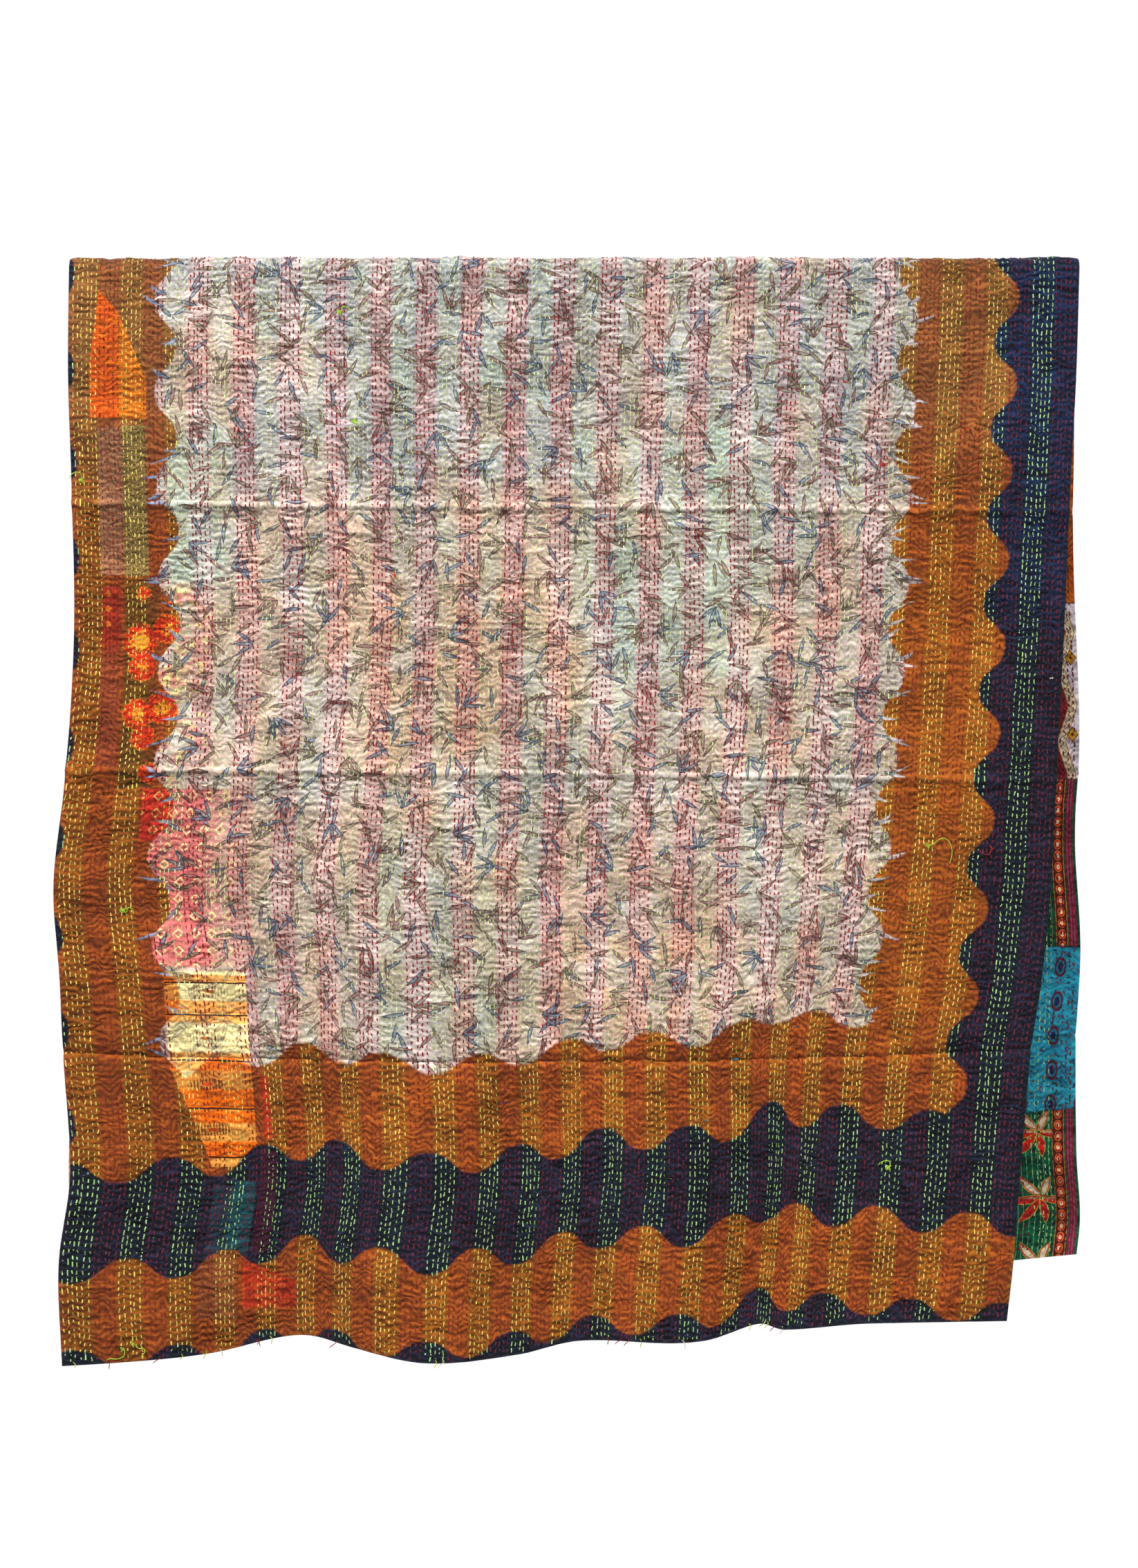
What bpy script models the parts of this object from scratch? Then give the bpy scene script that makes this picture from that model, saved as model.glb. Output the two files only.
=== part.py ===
"""Kantha quilt hung over a rail: a printed face cloth and a pieced backing, folded over together at the top.

Metres, +Z up. The origin is under the crown of the fold, at the middle of the quilt's width, where the
quilt bears on its rail. The front fall hangs on the -Y side and the back fall on the +Y side.
"""

import math
from collections import namedtuple

import bmesh
import bpy

# Driving sizes
CLOTH_THICKNESS = 0.0012  # of the face cloth, and again of the backing
LAYER_GAP = 0.0003  # left between the two cloths
FOLD_RADIUS = 0.0125  # of the layer gap as it turns over the rail
CLOTH_WIDTH = 1.1  # measured along the cloth, used to turn widths of folds into shares
GRID_COLUMNS = 26
ARC_STEPS = 6
PANEL_STOPS = (0.0, 0.06, 0.25, 0.5, 0.75, 0.94)  # grid rows in each panel between two creases
CENTRE_CREASE_REACH = 0.03  # to either side of the upright crease down the middle
LEVEL_SHARE = 0.25  # of a fall's drop, over which the upright crease grows to its full height

CROWN = CLOTH_THICKNESS + LAYER_GAP / 2  # height of the layer gap over the origin at the crown
FOLD_CENTRE = CROWN - FOLD_RADIUS

Edge = namedtuple("Edge", "drop left right")
HemPoint = namedtuple("HemPoint", "across drop")
Crease = namedtuple("Crease", "left middle right stand reach")
SoftFold = namedtuple("SoftFold", "across width depth start")
Fall = namedtuple("Fall", "side edges hem creases folds lean centre_ridge")

# Side edges of the front fall. They bow out between creases, and the right one runs in towards the hem.
FRONT_EDGES = (
    Edge(drop=0.000, left=-0.549, right=0.548),
    Edge(drop=0.130, left=-0.550, right=0.544),
    Edge(drop=0.270, left=-0.545, right=0.536),
    Edge(drop=0.410, left=-0.543, right=0.530),
    Edge(drop=0.560, left=-0.551, right=0.521),
    Edge(drop=0.680, left=-0.564, right=0.515),
    Edge(drop=0.780, left=-0.557, right=0.505),
    Edge(drop=0.860, left=-0.553, right=0.493),
    Edge(drop=0.990, left=-0.544, right=0.481),
    Edge(drop=1.090, left=-0.556, right=0.473),
    Edge(drop=1.200, left=-0.552, right=0.460),
)
# The front hem dips and lifts, from a long left corner to a short right one.
FRONT_HEM = (
    HemPoint(across=0.000, drop=1.198),
    HemPoint(across=0.130, drop=1.187),
    HemPoint(across=0.235, drop=1.169),
    HemPoint(across=0.300, drop=1.180),
    HemPoint(across=0.370, drop=1.194),
    HemPoint(across=0.465, drop=1.188),
    HemPoint(across=0.535, drop=1.174),
    HemPoint(across=0.665, drop=1.172),
    HemPoint(across=0.735, drop=1.156),
    HemPoint(across=0.770, drop=1.162),
    HemPoint(across=0.865, drop=1.152),
    HemPoint(across=1.000, drop=1.151),
)
# Lines where the quilt was folded for storage. A positive stand is a ridge towards the viewer of that fall.
FRONT_CREASES = (
    Crease(left=0.267, middle=0.272, right=0.276, stand=0.0040, reach=0.030),
    Crease(left=0.556, middle=0.560, right=0.568, stand=0.0060, reach=0.040),
    Crease(left=0.861, middle=0.872, right=0.857, stand=-0.0035, reach=0.025),
)
# Soft upright folds. Each grows from its start down to the hem.
FRONT_FOLDS = (
    SoftFold(across=0.03, width=0.110, depth=0.010, start=0.45),
    SoftFold(across=0.235, width=0.080, depth=-0.014, start=0.50),
    SoftFold(across=0.38, width=0.085, depth=0.014, start=0.40),
    SoftFold(across=0.54, width=0.075, depth=-0.009, start=0.30),
    SoftFold(across=0.65, width=0.080, depth=0.010, start=0.35),
    SoftFold(across=0.74, width=0.055, depth=-0.012, start=0.60),
    SoftFold(across=0.88, width=0.100, depth=0.011, start=0.25),
)

BACK_EDGES = (
    Edge(drop=0.000, left=-0.549, right=0.548),
    Edge(drop=0.200, left=-0.545, right=0.547),
    Edge(drop=0.330, left=-0.541, right=0.547),
    Edge(drop=0.510, left=-0.543, right=0.554),
    Edge(drop=0.630, left=-0.548, right=0.550),
    Edge(drop=0.750, left=-0.552, right=0.557),
    Edge(drop=0.860, left=-0.553, right=0.553),
    Edge(drop=0.980, left=-0.558, right=0.554),
    Edge(drop=1.050, left=-0.557, right=0.558),
    Edge(drop=1.110, left=-0.552, right=0.552),
)
BACK_HEM = (
    HemPoint(across=0.00, drop=1.100),
    HemPoint(across=0.22, drop=1.108),
    HemPoint(across=0.45, drop=1.094),
    HemPoint(across=0.70, drop=1.104),
    HemPoint(across=0.93, drop=1.098),
    HemPoint(across=1.00, drop=1.091),
)
BACK_CREASES = (
    Crease(left=0.270, middle=0.274, right=0.272, stand=0.0040, reach=0.030),
    Crease(left=0.562, middle=0.566, right=0.560, stand=-0.0030, reach=0.030),
    Crease(left=0.850, middle=0.856, right=0.848, stand=0.0040, reach=0.030),
)
BACK_FOLDS = (
    SoftFold(across=0.10, width=0.100, depth=0.010, start=0.30),
    SoftFold(across=0.33, width=0.100, depth=-0.009, start=0.35),
    SoftFold(across=0.55, width=0.100, depth=0.012, start=0.25),
    SoftFold(across=0.78, width=0.090, depth=-0.009, start=0.40),
    SoftFold(across=0.97, width=0.080, depth=0.008, start=0.45),
)

FRONT = Fall(-1, FRONT_EDGES, FRONT_HEM, FRONT_CREASES, FRONT_FOLDS, lean=0.014, centre_ridge=0.0020)
BACK = Fall(1, BACK_EDGES, BACK_HEM, BACK_CREASES, BACK_FOLDS, lean=0.018, centre_ridge=-0.0015)


def smoothstep(value):
    held = min(1.0, max(0.0, value))
    return held * held * (3 - 2 * held)


def along_table(rows, key, column, at):
    """The value of a table's column at that key, on a smooth curve through its rows."""
    keys = [getattr(row, key) for row in rows]
    values = [getattr(row, column) for row in rows]
    last = len(rows) - 1
    at = min(keys[-1], max(keys[0], at))
    i = next(n for n in range(last) if at <= keys[n + 1])

    def slope(n):
        before, after = max(0, n - 1), min(last, n + 1)
        return (values[after] - values[before]) / (keys[after] - keys[before])

    span = keys[i + 1] - keys[i]
    t = (at - keys[i]) / span
    start, end = values[i], values[i + 1]
    return (
        start * (1 + 2 * t) * (1 - t) ** 2
        + slope(i) * span * t * (1 - t) ** 2
        + end * t * t * (3 - 2 * t)
        + slope(i + 1) * span * t * t * (t - 1)
    )


def crease_drop(crease, across):
    """How far below the crown a crease lies at a share of the width, on a curve through its three drops."""
    bend = 2 * (crease.left + crease.right - 2 * crease.middle)
    return crease.left + (crease.right - crease.left) * across + bend * across * (across - 1)


def panel_lines(fall, across):
    """Drops of the fold's lower end, of each crease and of the hem: they bound the fall's panels."""
    lines = [FOLD_RADIUS]
    lines += [crease_drop(crease, across) for crease in fall.creases]
    lines.append(along_table(fall.hem, "across", "drop", across))
    return lines


def depth_of(fall, across, drop, hem_drop):
    """How far the fall stands out from the upright plane below the rail, away from the other fall."""
    share = drop / hem_drop
    depth = fall.lean * smoothstep(share)
    off = abs(across - 0.5) * CLOTH_WIDTH / CENTRE_CREASE_REACH
    depth += fall.centre_ridge * math.exp(-off) * smoothstep(share / LEVEL_SHARE)
    for fold in fall.folds:
        off = (across - fold.across) * CLOTH_WIDTH / fold.width
        depth += fold.depth * math.exp(-off * off) * smoothstep((share - fold.start) / (1 - fold.start))
    for crease in fall.creases:
        off = abs(drop - crease_drop(crease, across)) / crease.reach
        depth += crease.stand * math.exp(-off)
    return depth


def on_fall(fall, across, panel, stop):
    """The point of the layer gap on a fall, at a share of the width and at a stop within a panel."""
    lines = panel_lines(fall, across)
    drop = lines[panel] + (lines[panel + 1] - lines[panel]) * stop
    left = along_table(fall.edges, "drop", "left", drop)
    right = along_table(fall.edges, "drop", "right", drop)
    out = FOLD_RADIUS + depth_of(fall, across, drop, lines[-1]) - depth_of(fall, across, lines[0], lines[-1])
    return left + (right - left) * across, fall.side * out, CROWN - drop


def on_arc(across, turn):
    """The point of the layer gap on the fold over the rail, at an angle from the front side."""
    left, right = FRONT_EDGES[0].left, FRONT_EDGES[0].right
    y = -FOLD_RADIUS * math.cos(turn)
    return left + (right - left) * across, y, FOLD_CENTRE + FOLD_RADIUS * math.sin(turn)


def grid_rows():
    """One function of the share across for each grid row, from the front hem over the rail to the back hem."""
    panels = len(FRONT_CREASES) + 1
    stations = [(panel, stop) for panel in range(panels) for stop in PANEL_STOPS] + [(panels - 1, 1.0)]
    rows = [lambda across, at=at: on_fall(FRONT, across, *at) for at in reversed(stations)]
    for step in range(1, ARC_STEPS):
        turn = math.pi * step / ARC_STEPS
        rows.append(lambda across, turn=turn: on_arc(across, turn))
    rows += [lambda across, at=at: on_fall(BACK, across, *at) for at in stations]
    return rows


def draped_mesh():
    """The layer gap as an open sheet: a flat grid whose rows are laid over the rail and down both falls."""
    rows = grid_rows()
    bm = bmesh.new()
    bmesh.ops.create_grid(bm, x_segments=GRID_COLUMNS, y_segments=len(rows) - 1, size=0.5)
    for vert in bm.verts:
        row = round((vert.co.y + 0.5) * (len(rows) - 1))
        vert.co = rows[row](vert.co.x + 0.5)
    bmesh.ops.triangulate(bm, faces=bm.faces[:], quad_method="FIXED")
    mesh = bpy.data.meshes.new("draped_sheet")
    bm.to_mesh(mesh)
    bm.free()
    mesh.shade_smooth()
    return mesh


def cloth_material(name, colour, roughness):
    material = bpy.data.materials.new(name)
    material.use_nodes = True
    shader = material.node_tree.nodes["Principled BSDF"]
    shader.inputs["Base Color"].default_value = (*colour, 1.0)
    shader.inputs["Roughness"].default_value = roughness
    shader.inputs["Metallic"].default_value = 0.0
    return material


def add_cloth(name, collection, parent, outwards, material):
    """A cloth of even thickness beside the layer gap: outwards is 1 for the face and -1 for the backing."""
    mesh = draped_mesh()
    mesh.name = name
    mesh.materials.append(material)
    cloth = bpy.data.objects.new(name, mesh)
    cloth.parent = parent
    collection.objects.link(cloth)
    shell = cloth.modifiers.new("thickness", "SOLIDIFY")
    shell.thickness = CLOTH_THICKNESS
    shell.offset = outwards * (1 + LAYER_GAP / CLOTH_THICKNESS)
    shell.use_even_offset = True
    shell.use_rim = True
    return cloth


def clear_scene():
    for obj in list(bpy.data.objects):
        bpy.data.objects.remove(obj, do_unlink=True)


def main():
    clear_scene()
    collection = bpy.data.collections.new("kantha_quilt")
    bpy.context.scene.collection.children.link(collection)
    hanger = bpy.data.objects.new("rail_contact", None)
    collection.objects.link(hanger)
    printed = cloth_material("printed_sari", (0.50, 0.36, 0.27), 0.85)
    pieced = cloth_material("pieced_backing", (0.05, 0.22, 0.20), 0.85)
    add_cloth("face_cloth", collection, hanger, 1, printed)
    add_cloth("backing_cloth", collection, hanger, -1, pieced)


main()
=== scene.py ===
"""The looks of the hung kantha quilt: puckered cloths, their print and patches, and every running stitch."""

import math
from collections import namedtuple

import bpy
import numpy as np
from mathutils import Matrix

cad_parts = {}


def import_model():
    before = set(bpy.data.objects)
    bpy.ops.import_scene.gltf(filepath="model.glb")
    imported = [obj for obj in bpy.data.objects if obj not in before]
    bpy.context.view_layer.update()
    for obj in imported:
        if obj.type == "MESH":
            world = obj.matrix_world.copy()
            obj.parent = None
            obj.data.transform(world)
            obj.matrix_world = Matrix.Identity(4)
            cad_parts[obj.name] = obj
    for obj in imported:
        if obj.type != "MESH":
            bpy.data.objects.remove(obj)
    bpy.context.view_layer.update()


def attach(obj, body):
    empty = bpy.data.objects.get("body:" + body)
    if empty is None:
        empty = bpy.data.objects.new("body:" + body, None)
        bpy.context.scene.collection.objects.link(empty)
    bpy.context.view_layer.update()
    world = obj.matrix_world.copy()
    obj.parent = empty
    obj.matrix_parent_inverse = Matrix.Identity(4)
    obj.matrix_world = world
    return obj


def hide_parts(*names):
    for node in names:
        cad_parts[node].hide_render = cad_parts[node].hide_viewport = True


TAU = 2 * math.pi

# Sizes of the quilt, in metres, as in the part
CLOTH_THICKNESS = 0.0012
LAYER_GAP = 0.0003
FOLD_RADIUS = 0.0125
CLOTH_WIDTH = 1.1
CENTRE_CREASE_REACH = 0.03
LEVEL_SHARE = 0.25
GATHERED_FROM, GATHERED_BY = 0.3, 0.9  # shares of a fall's length between which its folds gather it
FACE_OFFSET = CLOTH_THICKNESS + LAYER_GAP / 2  # from the layer gap to the outer side of either cloth
CROWN = FACE_OFFSET
QUARTER_TURN = FOLD_RADIUS * math.pi / 2  # length of cloth from the crown to where a fall begins

Edge = namedtuple("Edge", "drop left right")
HemPoint = namedtuple("HemPoint", "across drop")
Crease = namedtuple("Crease", "left middle right stand reach")
SoftFold = namedtuple("SoftFold", "across width depth start")
Gather = namedtuple("Gather", "across shift")
Skew = namedtuple("Skew", "across lift")
Fall = namedtuple("Fall", "side edges hem creases folds lean centre_ridge gathers skews")

FRONT_EDGES = (
    Edge(0.000, -0.549, 0.548),
    Edge(0.130, -0.550, 0.544),
    Edge(0.270, -0.545, 0.536),
    Edge(0.410, -0.543, 0.530),
    Edge(0.560, -0.551, 0.521),
    Edge(0.680, -0.564, 0.515),
    Edge(0.780, -0.557, 0.505),
    Edge(0.860, -0.553, 0.493),
    Edge(0.990, -0.544, 0.481),
    Edge(1.090, -0.556, 0.473),
    Edge(1.200, -0.552, 0.460),
)
FRONT_HEM = (
    HemPoint(0.000, 1.198),
    HemPoint(0.130, 1.187),
    HemPoint(0.235, 1.169),
    HemPoint(0.300, 1.180),
    HemPoint(0.370, 1.194),
    HemPoint(0.465, 1.188),
    HemPoint(0.535, 1.174),
    HemPoint(0.665, 1.172),
    HemPoint(0.735, 1.156),
    HemPoint(0.770, 1.162),
    HemPoint(0.865, 1.152),
    HemPoint(1.000, 1.151),
)
FRONT_CREASES = (
    Crease(0.267, 0.272, 0.276, 0.0040, 0.030),
    Crease(0.556, 0.560, 0.568, 0.0060, 0.040),
    Crease(0.861, 0.872, 0.857, -0.0035, 0.025),
)
FRONT_FOLDS = (
    SoftFold(0.03, 0.110, 0.010, 0.45),
    SoftFold(0.235, 0.080, -0.014, 0.50),
    SoftFold(0.38, 0.085, 0.014, 0.40),
    SoftFold(0.54, 0.075, -0.009, 0.30),
    SoftFold(0.65, 0.080, 0.010, 0.35),
    SoftFold(0.74, 0.055, -0.012, 0.60),
    SoftFold(0.88, 0.100, 0.011, 0.25),
)
# How far the cloth is pushed sideways at the hem, where its folds gather it.
FRONT_GATHERS = (
    Gather(0.00, 0.000),
    Gather(0.05, 0.012),
    Gather(0.12, 0.023),
    Gather(0.24, 0.017),
    Gather(0.31, 0.009),
    Gather(0.38, 0.019),
    Gather(0.55, 0.015),
    Gather(0.70, 0.011),
    Gather(0.80, -0.010),
    Gather(0.88, -0.011),
    Gather(1.00, 0.000),
)
# How far the printed border runs above its mean line along the hem.
FRONT_SKEWS = (
    Skew(0.00, -0.009),
    Skew(0.25, -0.012),
    Skew(0.40, 0.000),
    Skew(0.55, 0.002),
    Skew(0.66, 0.008),
    Skew(0.77, 0.016),
    Skew(0.90, 0.001),
    Skew(1.00, -0.006),
)

BACK_EDGES = (
    Edge(0.000, -0.549, 0.548),
    Edge(0.200, -0.545, 0.547),
    Edge(0.330, -0.541, 0.547),
    Edge(0.510, -0.543, 0.554),
    Edge(0.630, -0.548, 0.550),
    Edge(0.750, -0.552, 0.557),
    Edge(0.860, -0.553, 0.553),
    Edge(0.980, -0.558, 0.554),
    Edge(1.050, -0.557, 0.558),
    Edge(1.110, -0.552, 0.552),
)
BACK_HEM = (
    HemPoint(0.00, 1.100),
    HemPoint(0.22, 1.108),
    HemPoint(0.45, 1.094),
    HemPoint(0.70, 1.104),
    HemPoint(0.93, 1.098),
    HemPoint(1.00, 1.091),
)
BACK_CREASES = (
    Crease(0.270, 0.274, 0.272, 0.0040, 0.030),
    Crease(0.562, 0.566, 0.560, -0.0030, 0.030),
    Crease(0.850, 0.856, 0.848, 0.0040, 0.030),
)
BACK_FOLDS = (
    SoftFold(0.10, 0.100, 0.010, 0.30),
    SoftFold(0.33, 0.100, -0.009, 0.35),
    SoftFold(0.55, 0.100, 0.012, 0.25),
    SoftFold(0.78, 0.090, -0.009, 0.40),
    SoftFold(0.97, 0.080, 0.008, 0.45),
)
BACK_GATHERS = (
    Gather(0.00, 0.000),
    Gather(0.30, 0.010),
    Gather(0.60, -0.008),
    Gather(1.00, 0.000),
)
BACK_SKEWS = (
    Skew(0.00, 0.006),
    Skew(0.50, -0.004),
    Skew(1.00, 0.004),
)

FRONT = Fall(
    -1, FRONT_EDGES, FRONT_HEM, FRONT_CREASES, FRONT_FOLDS, 0.014, 0.0020, FRONT_GATHERS, FRONT_SKEWS
)
BACK = Fall(1, BACK_EDGES, BACK_HEM, BACK_CREASES, BACK_FOLDS, 0.018, -0.0015, BACK_GATHERS, BACK_SKEWS)

# Pucker of the quilting
RIPPLE_PITCH = 0.0082
RIPPLE_HEIGHT = 0.0011
WRINKLE_PITCH = 0.0074  # of the finer slanting wrinkles between the stitches
SHARP_CREASE = 0.0036  # stands on each storage crease, as a crisp line
SHARP_REACH = 0.0032
PUCKER_AT_RIM = 0.25  # share of the pucker that is left at the cloth's edges
CALM_MARGIN = 0.006

# Lumps of noise: how high, how long across and along the cloth, and the seed
Lumps = namedtuple("Lumps", "height across along seed")
SLANTS = (Lumps(0.0085, 0.024, 0.026, 3), Lumps(0.0052, 0.0095, 0.014, 4))
UNEVENNESS = (Lumps(0.0009, 0.019, 0.009, 6), Lumps(0.0009, 0.060, 0.035, 7))

THREAD_PITCH = 0.0011  # of the cloth's weave, wave to wave

# A storage crease gets a painted highlight line on one side and a painted shadow line on the other, which way
# round set by how the crease stands.
CREASE_PAINTED_LIGHT = 1.8
CREASE_LIGHT_LINES = ((1, -0.0014, 0.0020), (-1, 0.0026, 0.0022))  # sign, middle and width of each line

# Running stitch
STITCH_GROUPS = 22
GROUP_PITCH = 0.0496
FIRST_GROUP = 0.018  # middle of the first group of yellow rows, from the left edge
ROWS_IN_GROUP = 10
YELLOW_ROWS = 5
ROW_PITCH = GROUP_PITCH / ROWS_IN_GROUP
STITCH_PITCH = 0.0076
STITCH_LENGTH = 0.0041
STITCH_STAND = 0.0006
STITCH_FLOAT = 0.0001  # of a stitch's lowest edges, over the cloth
STITCH_SEED = 11
LENGTH_SPREAD = (0.50, 1.40)  # shares of the mean length
PLACE_SPREAD = 0.0006
TILT_SPREAD = 0.0003
SIDE_MARGIN = 0.003
HEM_MARGIN = 0.002
EDGE_ROWS = 0.013  # the rows this near to the left edge have longer stitches
EDGE_STRETCH = 1.4
INSIDE_BARE = (0.12, 0.78)  # shares of the width between which the stitches inside the fold can't be seen

# Scalloped borders of the print. grow is the way in which the border's own colour lies.
Border = namedtuple("Border", "at grow swing period peak")
RIGHT_BROWN = Border(0.915, 1, 0.0105, 0.0957, 0.075)
RIGHT_NAVY = Border(1.022, 1, 0.0130, 0.0947, 0.051)
LEFT_BROWN = Border(0.106, -1, 0.0115, 0.1005, 0.053)
LEFT_NAVY = Border(-0.004, -1, 0.0110, 0.1023, 0.077)
LOWER_BROWN = Border(0.321, -1, 0.0090, 0.0998, 0.206)
LOWER_NAVY = Border(0.216, -1, 0.0120, 0.1003, 0.046)
HEM_BROWN = Border(0.109, -1, 0.0120, 0.0985, 0.112)
HEM_NAVY = Border(0.015, -1, 0.0105, 0.0983, 0.356)
# Side borders, lower border and colour of each layer of the print, from the first printed to the last
PRINT_ORDER = (
    ((RIGHT_BROWN, LEFT_BROWN), LOWER_BROWN, "brown"),
    ((RIGHT_NAVY, LEFT_NAVY), LOWER_NAVY, "navy"),
    ((), HEM_BROWN, "brown"),
    ((), HEM_NAVY, "navy"),
)


def smoothstep(value):
    held = np.clip(value, 0.0, 1.0)
    return held * held * (3 - 2 * held)


def along_table(rows, key, column, at):
    """The values of a table's column at those keys, on a smooth curve through its rows."""
    keys = np.array([getattr(row, key) for row in rows])
    values = np.array([getattr(row, column) for row in rows])
    last = len(rows) - 1
    at = np.clip(at, keys[0], keys[-1])
    i = np.clip(np.searchsorted(keys, at) - 1, 0, last - 1)
    before = np.maximum(np.arange(last + 1) - 1, 0)
    after = np.minimum(np.arange(last + 1) + 1, last)
    slopes = (values[after] - values[before]) / (keys[after] - keys[before])
    span = keys[i + 1] - keys[i]
    t = (at - keys[i]) / span
    return (
        values[i] * (1 + 2 * t) * (1 - t) ** 2
        + slopes[i] * span * t * (1 - t) ** 2
        + values[i + 1] * t * t * (3 - 2 * t)
        + slopes[i + 1] * span * t * t * (t - 1)
    )


def crease_drop(crease, across):
    bend = 2 * (crease.left + crease.right - 2 * crease.middle)
    return crease.left + (crease.right - crease.left) * across + bend * across * (across - 1)


def depth_of(fall, across, drop, hem_drop):
    """How far the fall stands out from the upright plane below the rail, away from the other fall."""
    share = drop / hem_drop
    depth = fall.lean * smoothstep(share)
    off = np.abs(across - 0.5) * CLOTH_WIDTH / CENTRE_CREASE_REACH
    depth += fall.centre_ridge * np.exp(-off) * smoothstep(share / LEVEL_SHARE)
    for fold in fall.folds:
        off = (across - fold.across) * CLOTH_WIDTH / fold.width
        depth += fold.depth * np.exp(-off * off) * smoothstep((share - fold.start) / (1 - fold.start))
    for crease in fall.creases:
        off = np.abs(drop - crease_drop(crease, across))
        depth += crease.stand * np.exp(-off / crease.reach)
        depth += math.copysign(SHARP_CREASE, crease.stand) * np.exp(-off / SHARP_REACH)
    return depth


def cloth_length(fall, across):
    """Length of cloth from the crown to the hem, at a share of the width."""
    return along_table(fall.hem, "across", "drop", across) - FOLD_RADIUS + QUARTER_TURN


def lay(fall, across, run):
    """Points of the middle layer, at a share of the width and a length of cloth from the crown."""
    length = cloth_length(fall, across)
    hem_drop = length + FOLD_RADIUS - QUARTER_TURN
    shift = along_table(fall.gathers, "across", "shift", across)
    across = across + shift * smoothstep((run / length - GATHERED_FROM) / (GATHERED_BY - GATHERED_FROM))
    on_fall = run > QUARTER_TURN
    turn = np.minimum(run, QUARTER_TURN) / FOLD_RADIUS
    drop = np.where(on_fall, run - QUARTER_TURN + FOLD_RADIUS, FOLD_RADIUS * (1 - np.cos(turn)))
    left = along_table(fall.edges, "drop", "left", drop)
    right = along_table(fall.edges, "drop", "right", drop)
    stand = depth_of(fall, across, drop, hem_drop) - depth_of(fall, across, FOLD_RADIUS, hem_drop)
    out = np.where(on_fall, FOLD_RADIUS + stand, FOLD_RADIUS * np.sin(turn))
    return np.stack([left + (right - left) * across, fall.side * out, CROWN - drop], axis=-1)


def normals_of(fall, across, run):
    """Unit directions out of the middle layer, towards the face cloth's side."""
    step = 0.0008
    length = cloth_length(fall, across)
    ahead, behind = np.minimum(run + step, length), np.maximum(run - step, 0.0)
    down = lay(fall, across, ahead) - lay(fall, across, behind)
    sideways = lay(fall, np.minimum(across + step, 1.0), run) - lay(fall, np.maximum(across - step, 0.0), run)
    normal = -fall.side * np.cross(down, sideways)
    return normal / np.linalg.norm(normal, axis=-1, keepdims=True)


def noise(x, y, seed):
    """Smooth noise from -1 to 1 on a lattice one unit wide, repeatable for a seed."""
    size = 256
    lattice = np.random.default_rng(seed).uniform(-1, 1, (size, size))
    column, row = np.floor(x).astype(int), np.floor(y).astype(int)
    fx, fy = smoothstep(x - column), smoothstep(y - row)
    lower, upper = (
        lattice[column % size, up % size] * (1 - fx) + lattice[(column + 1) % size, up % size] * fx
        for up in (row, row + 1)
    )
    return lower * (1 - fy) + upper * fy


def lumpy(rows, across_m, along_m):
    return sum(r.height * noise(across_m / r.across, along_m / r.along, r.seed) for r in rows)


def pucker(across_m, along_m):
    """Height of the quilting's ripples, narrow at the crest. Their phase drifts, so no ripple runs far."""
    strength = np.maximum(0.85 + 0.90 * noise(across_m / 0.016, along_m / 0.014, 5), 0.3)
    wave = -np.cos((along_m + lumpy(SLANTS, across_m, along_m)) * TAU / RIPPLE_PITCH)
    height = RIPPLE_HEIGHT * strength * (wave + 0.25 * (2 * wave * wave - 1))
    return height + lumpy(UNEVENNESS, across_m, along_m)


def surface(fall, across, run, layer, lift=0.0):
    """Points of a cloth's own surface. layer is 1 for the face cloth and -1 for the backing."""
    across_m = across * CLOTH_WIDTH
    to_edge = np.minimum(np.minimum(across_m, CLOTH_WIDTH - across_m), cloth_length(fall, across) - run)
    rim = np.clip(1 - to_edge / FACE_OFFSET, 0.0, 1.0)
    calm = smoothstep(to_edge / CALM_MARGIN)
    height = pucker(across_m, -fall.side * run) * (PUCKER_AT_RIM + (1 - PUCKER_AT_RIM) * calm)
    offset = layer * FACE_OFFSET * np.sqrt(1 - rim * rim) + height + layer * lift
    return lay(fall, across, run) + normals_of(fall, across, run) * offset[..., None]


def past(border, across, along):
    """How far a point of the print lies past a scalloped border. Arrays and material signals both serve."""
    lobe = cosine((along - border.peak) * (TAU / border.period))
    lobe = lobe * 1.3 - lobe * lobe * lobe * 0.3
    return (across - border.at) * border.grow - lobe * border.swing


def lift_over_hem(fall, across, run):
    """Height over the print's lower line, which runs a little askew to the hem."""
    return cloth_length(fall, across) - run - along_table(fall.skews, "across", "lift", across)


def group_drift(across_m, along_m):
    """How far the rows of stitches wander sideways."""
    return 0.0032 * noise(across_m / 0.15, along_m / 0.22 + 40, 8)


def group_at(across_m, along_m):
    """Number of the group of rows at a place, as a whole number in the middle of the group's yellow rows."""
    return (across_m - group_drift(across_m, along_m) - FIRST_GROUP) / GROUP_PITCH


class Signal:
    """A number inside a material: sums and products of signals add Math nodes to its tree."""

    def __init__(self, tree, socket):
        self.tree = tree
        self.socket = socket

    def math(self, operation, *others):
        node = self.tree.nodes.new("ShaderNodeMath")
        node.operation = operation
        for i, value in enumerate((self, *others)):
            plug(self.tree, value, node.inputs[i])
        return Signal(self.tree, node.outputs[0])

    def __add__(self, other):
        return self.math("ADD", other)

    def __sub__(self, other):
        return self.math("SUBTRACT", other)

    def __mul__(self, other):
        return self.math("MULTIPLY", other)

    def __truediv__(self, other):
        return self.math("DIVIDE", other)

    def __neg__(self):
        return self.math("MULTIPLY", -1.0)

    def __abs__(self):
        return self.math("ABSOLUTE")


def plug(tree, value, socket):
    """Links a signal or a node's socket to an input, or writes a plain value there."""
    if isinstance(value, Signal):
        tree.links.new(value.socket, socket)
    elif isinstance(value, bpy.types.NodeSocket):
        tree.links.new(value, socket)
    else:
        socket.default_value = value


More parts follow.
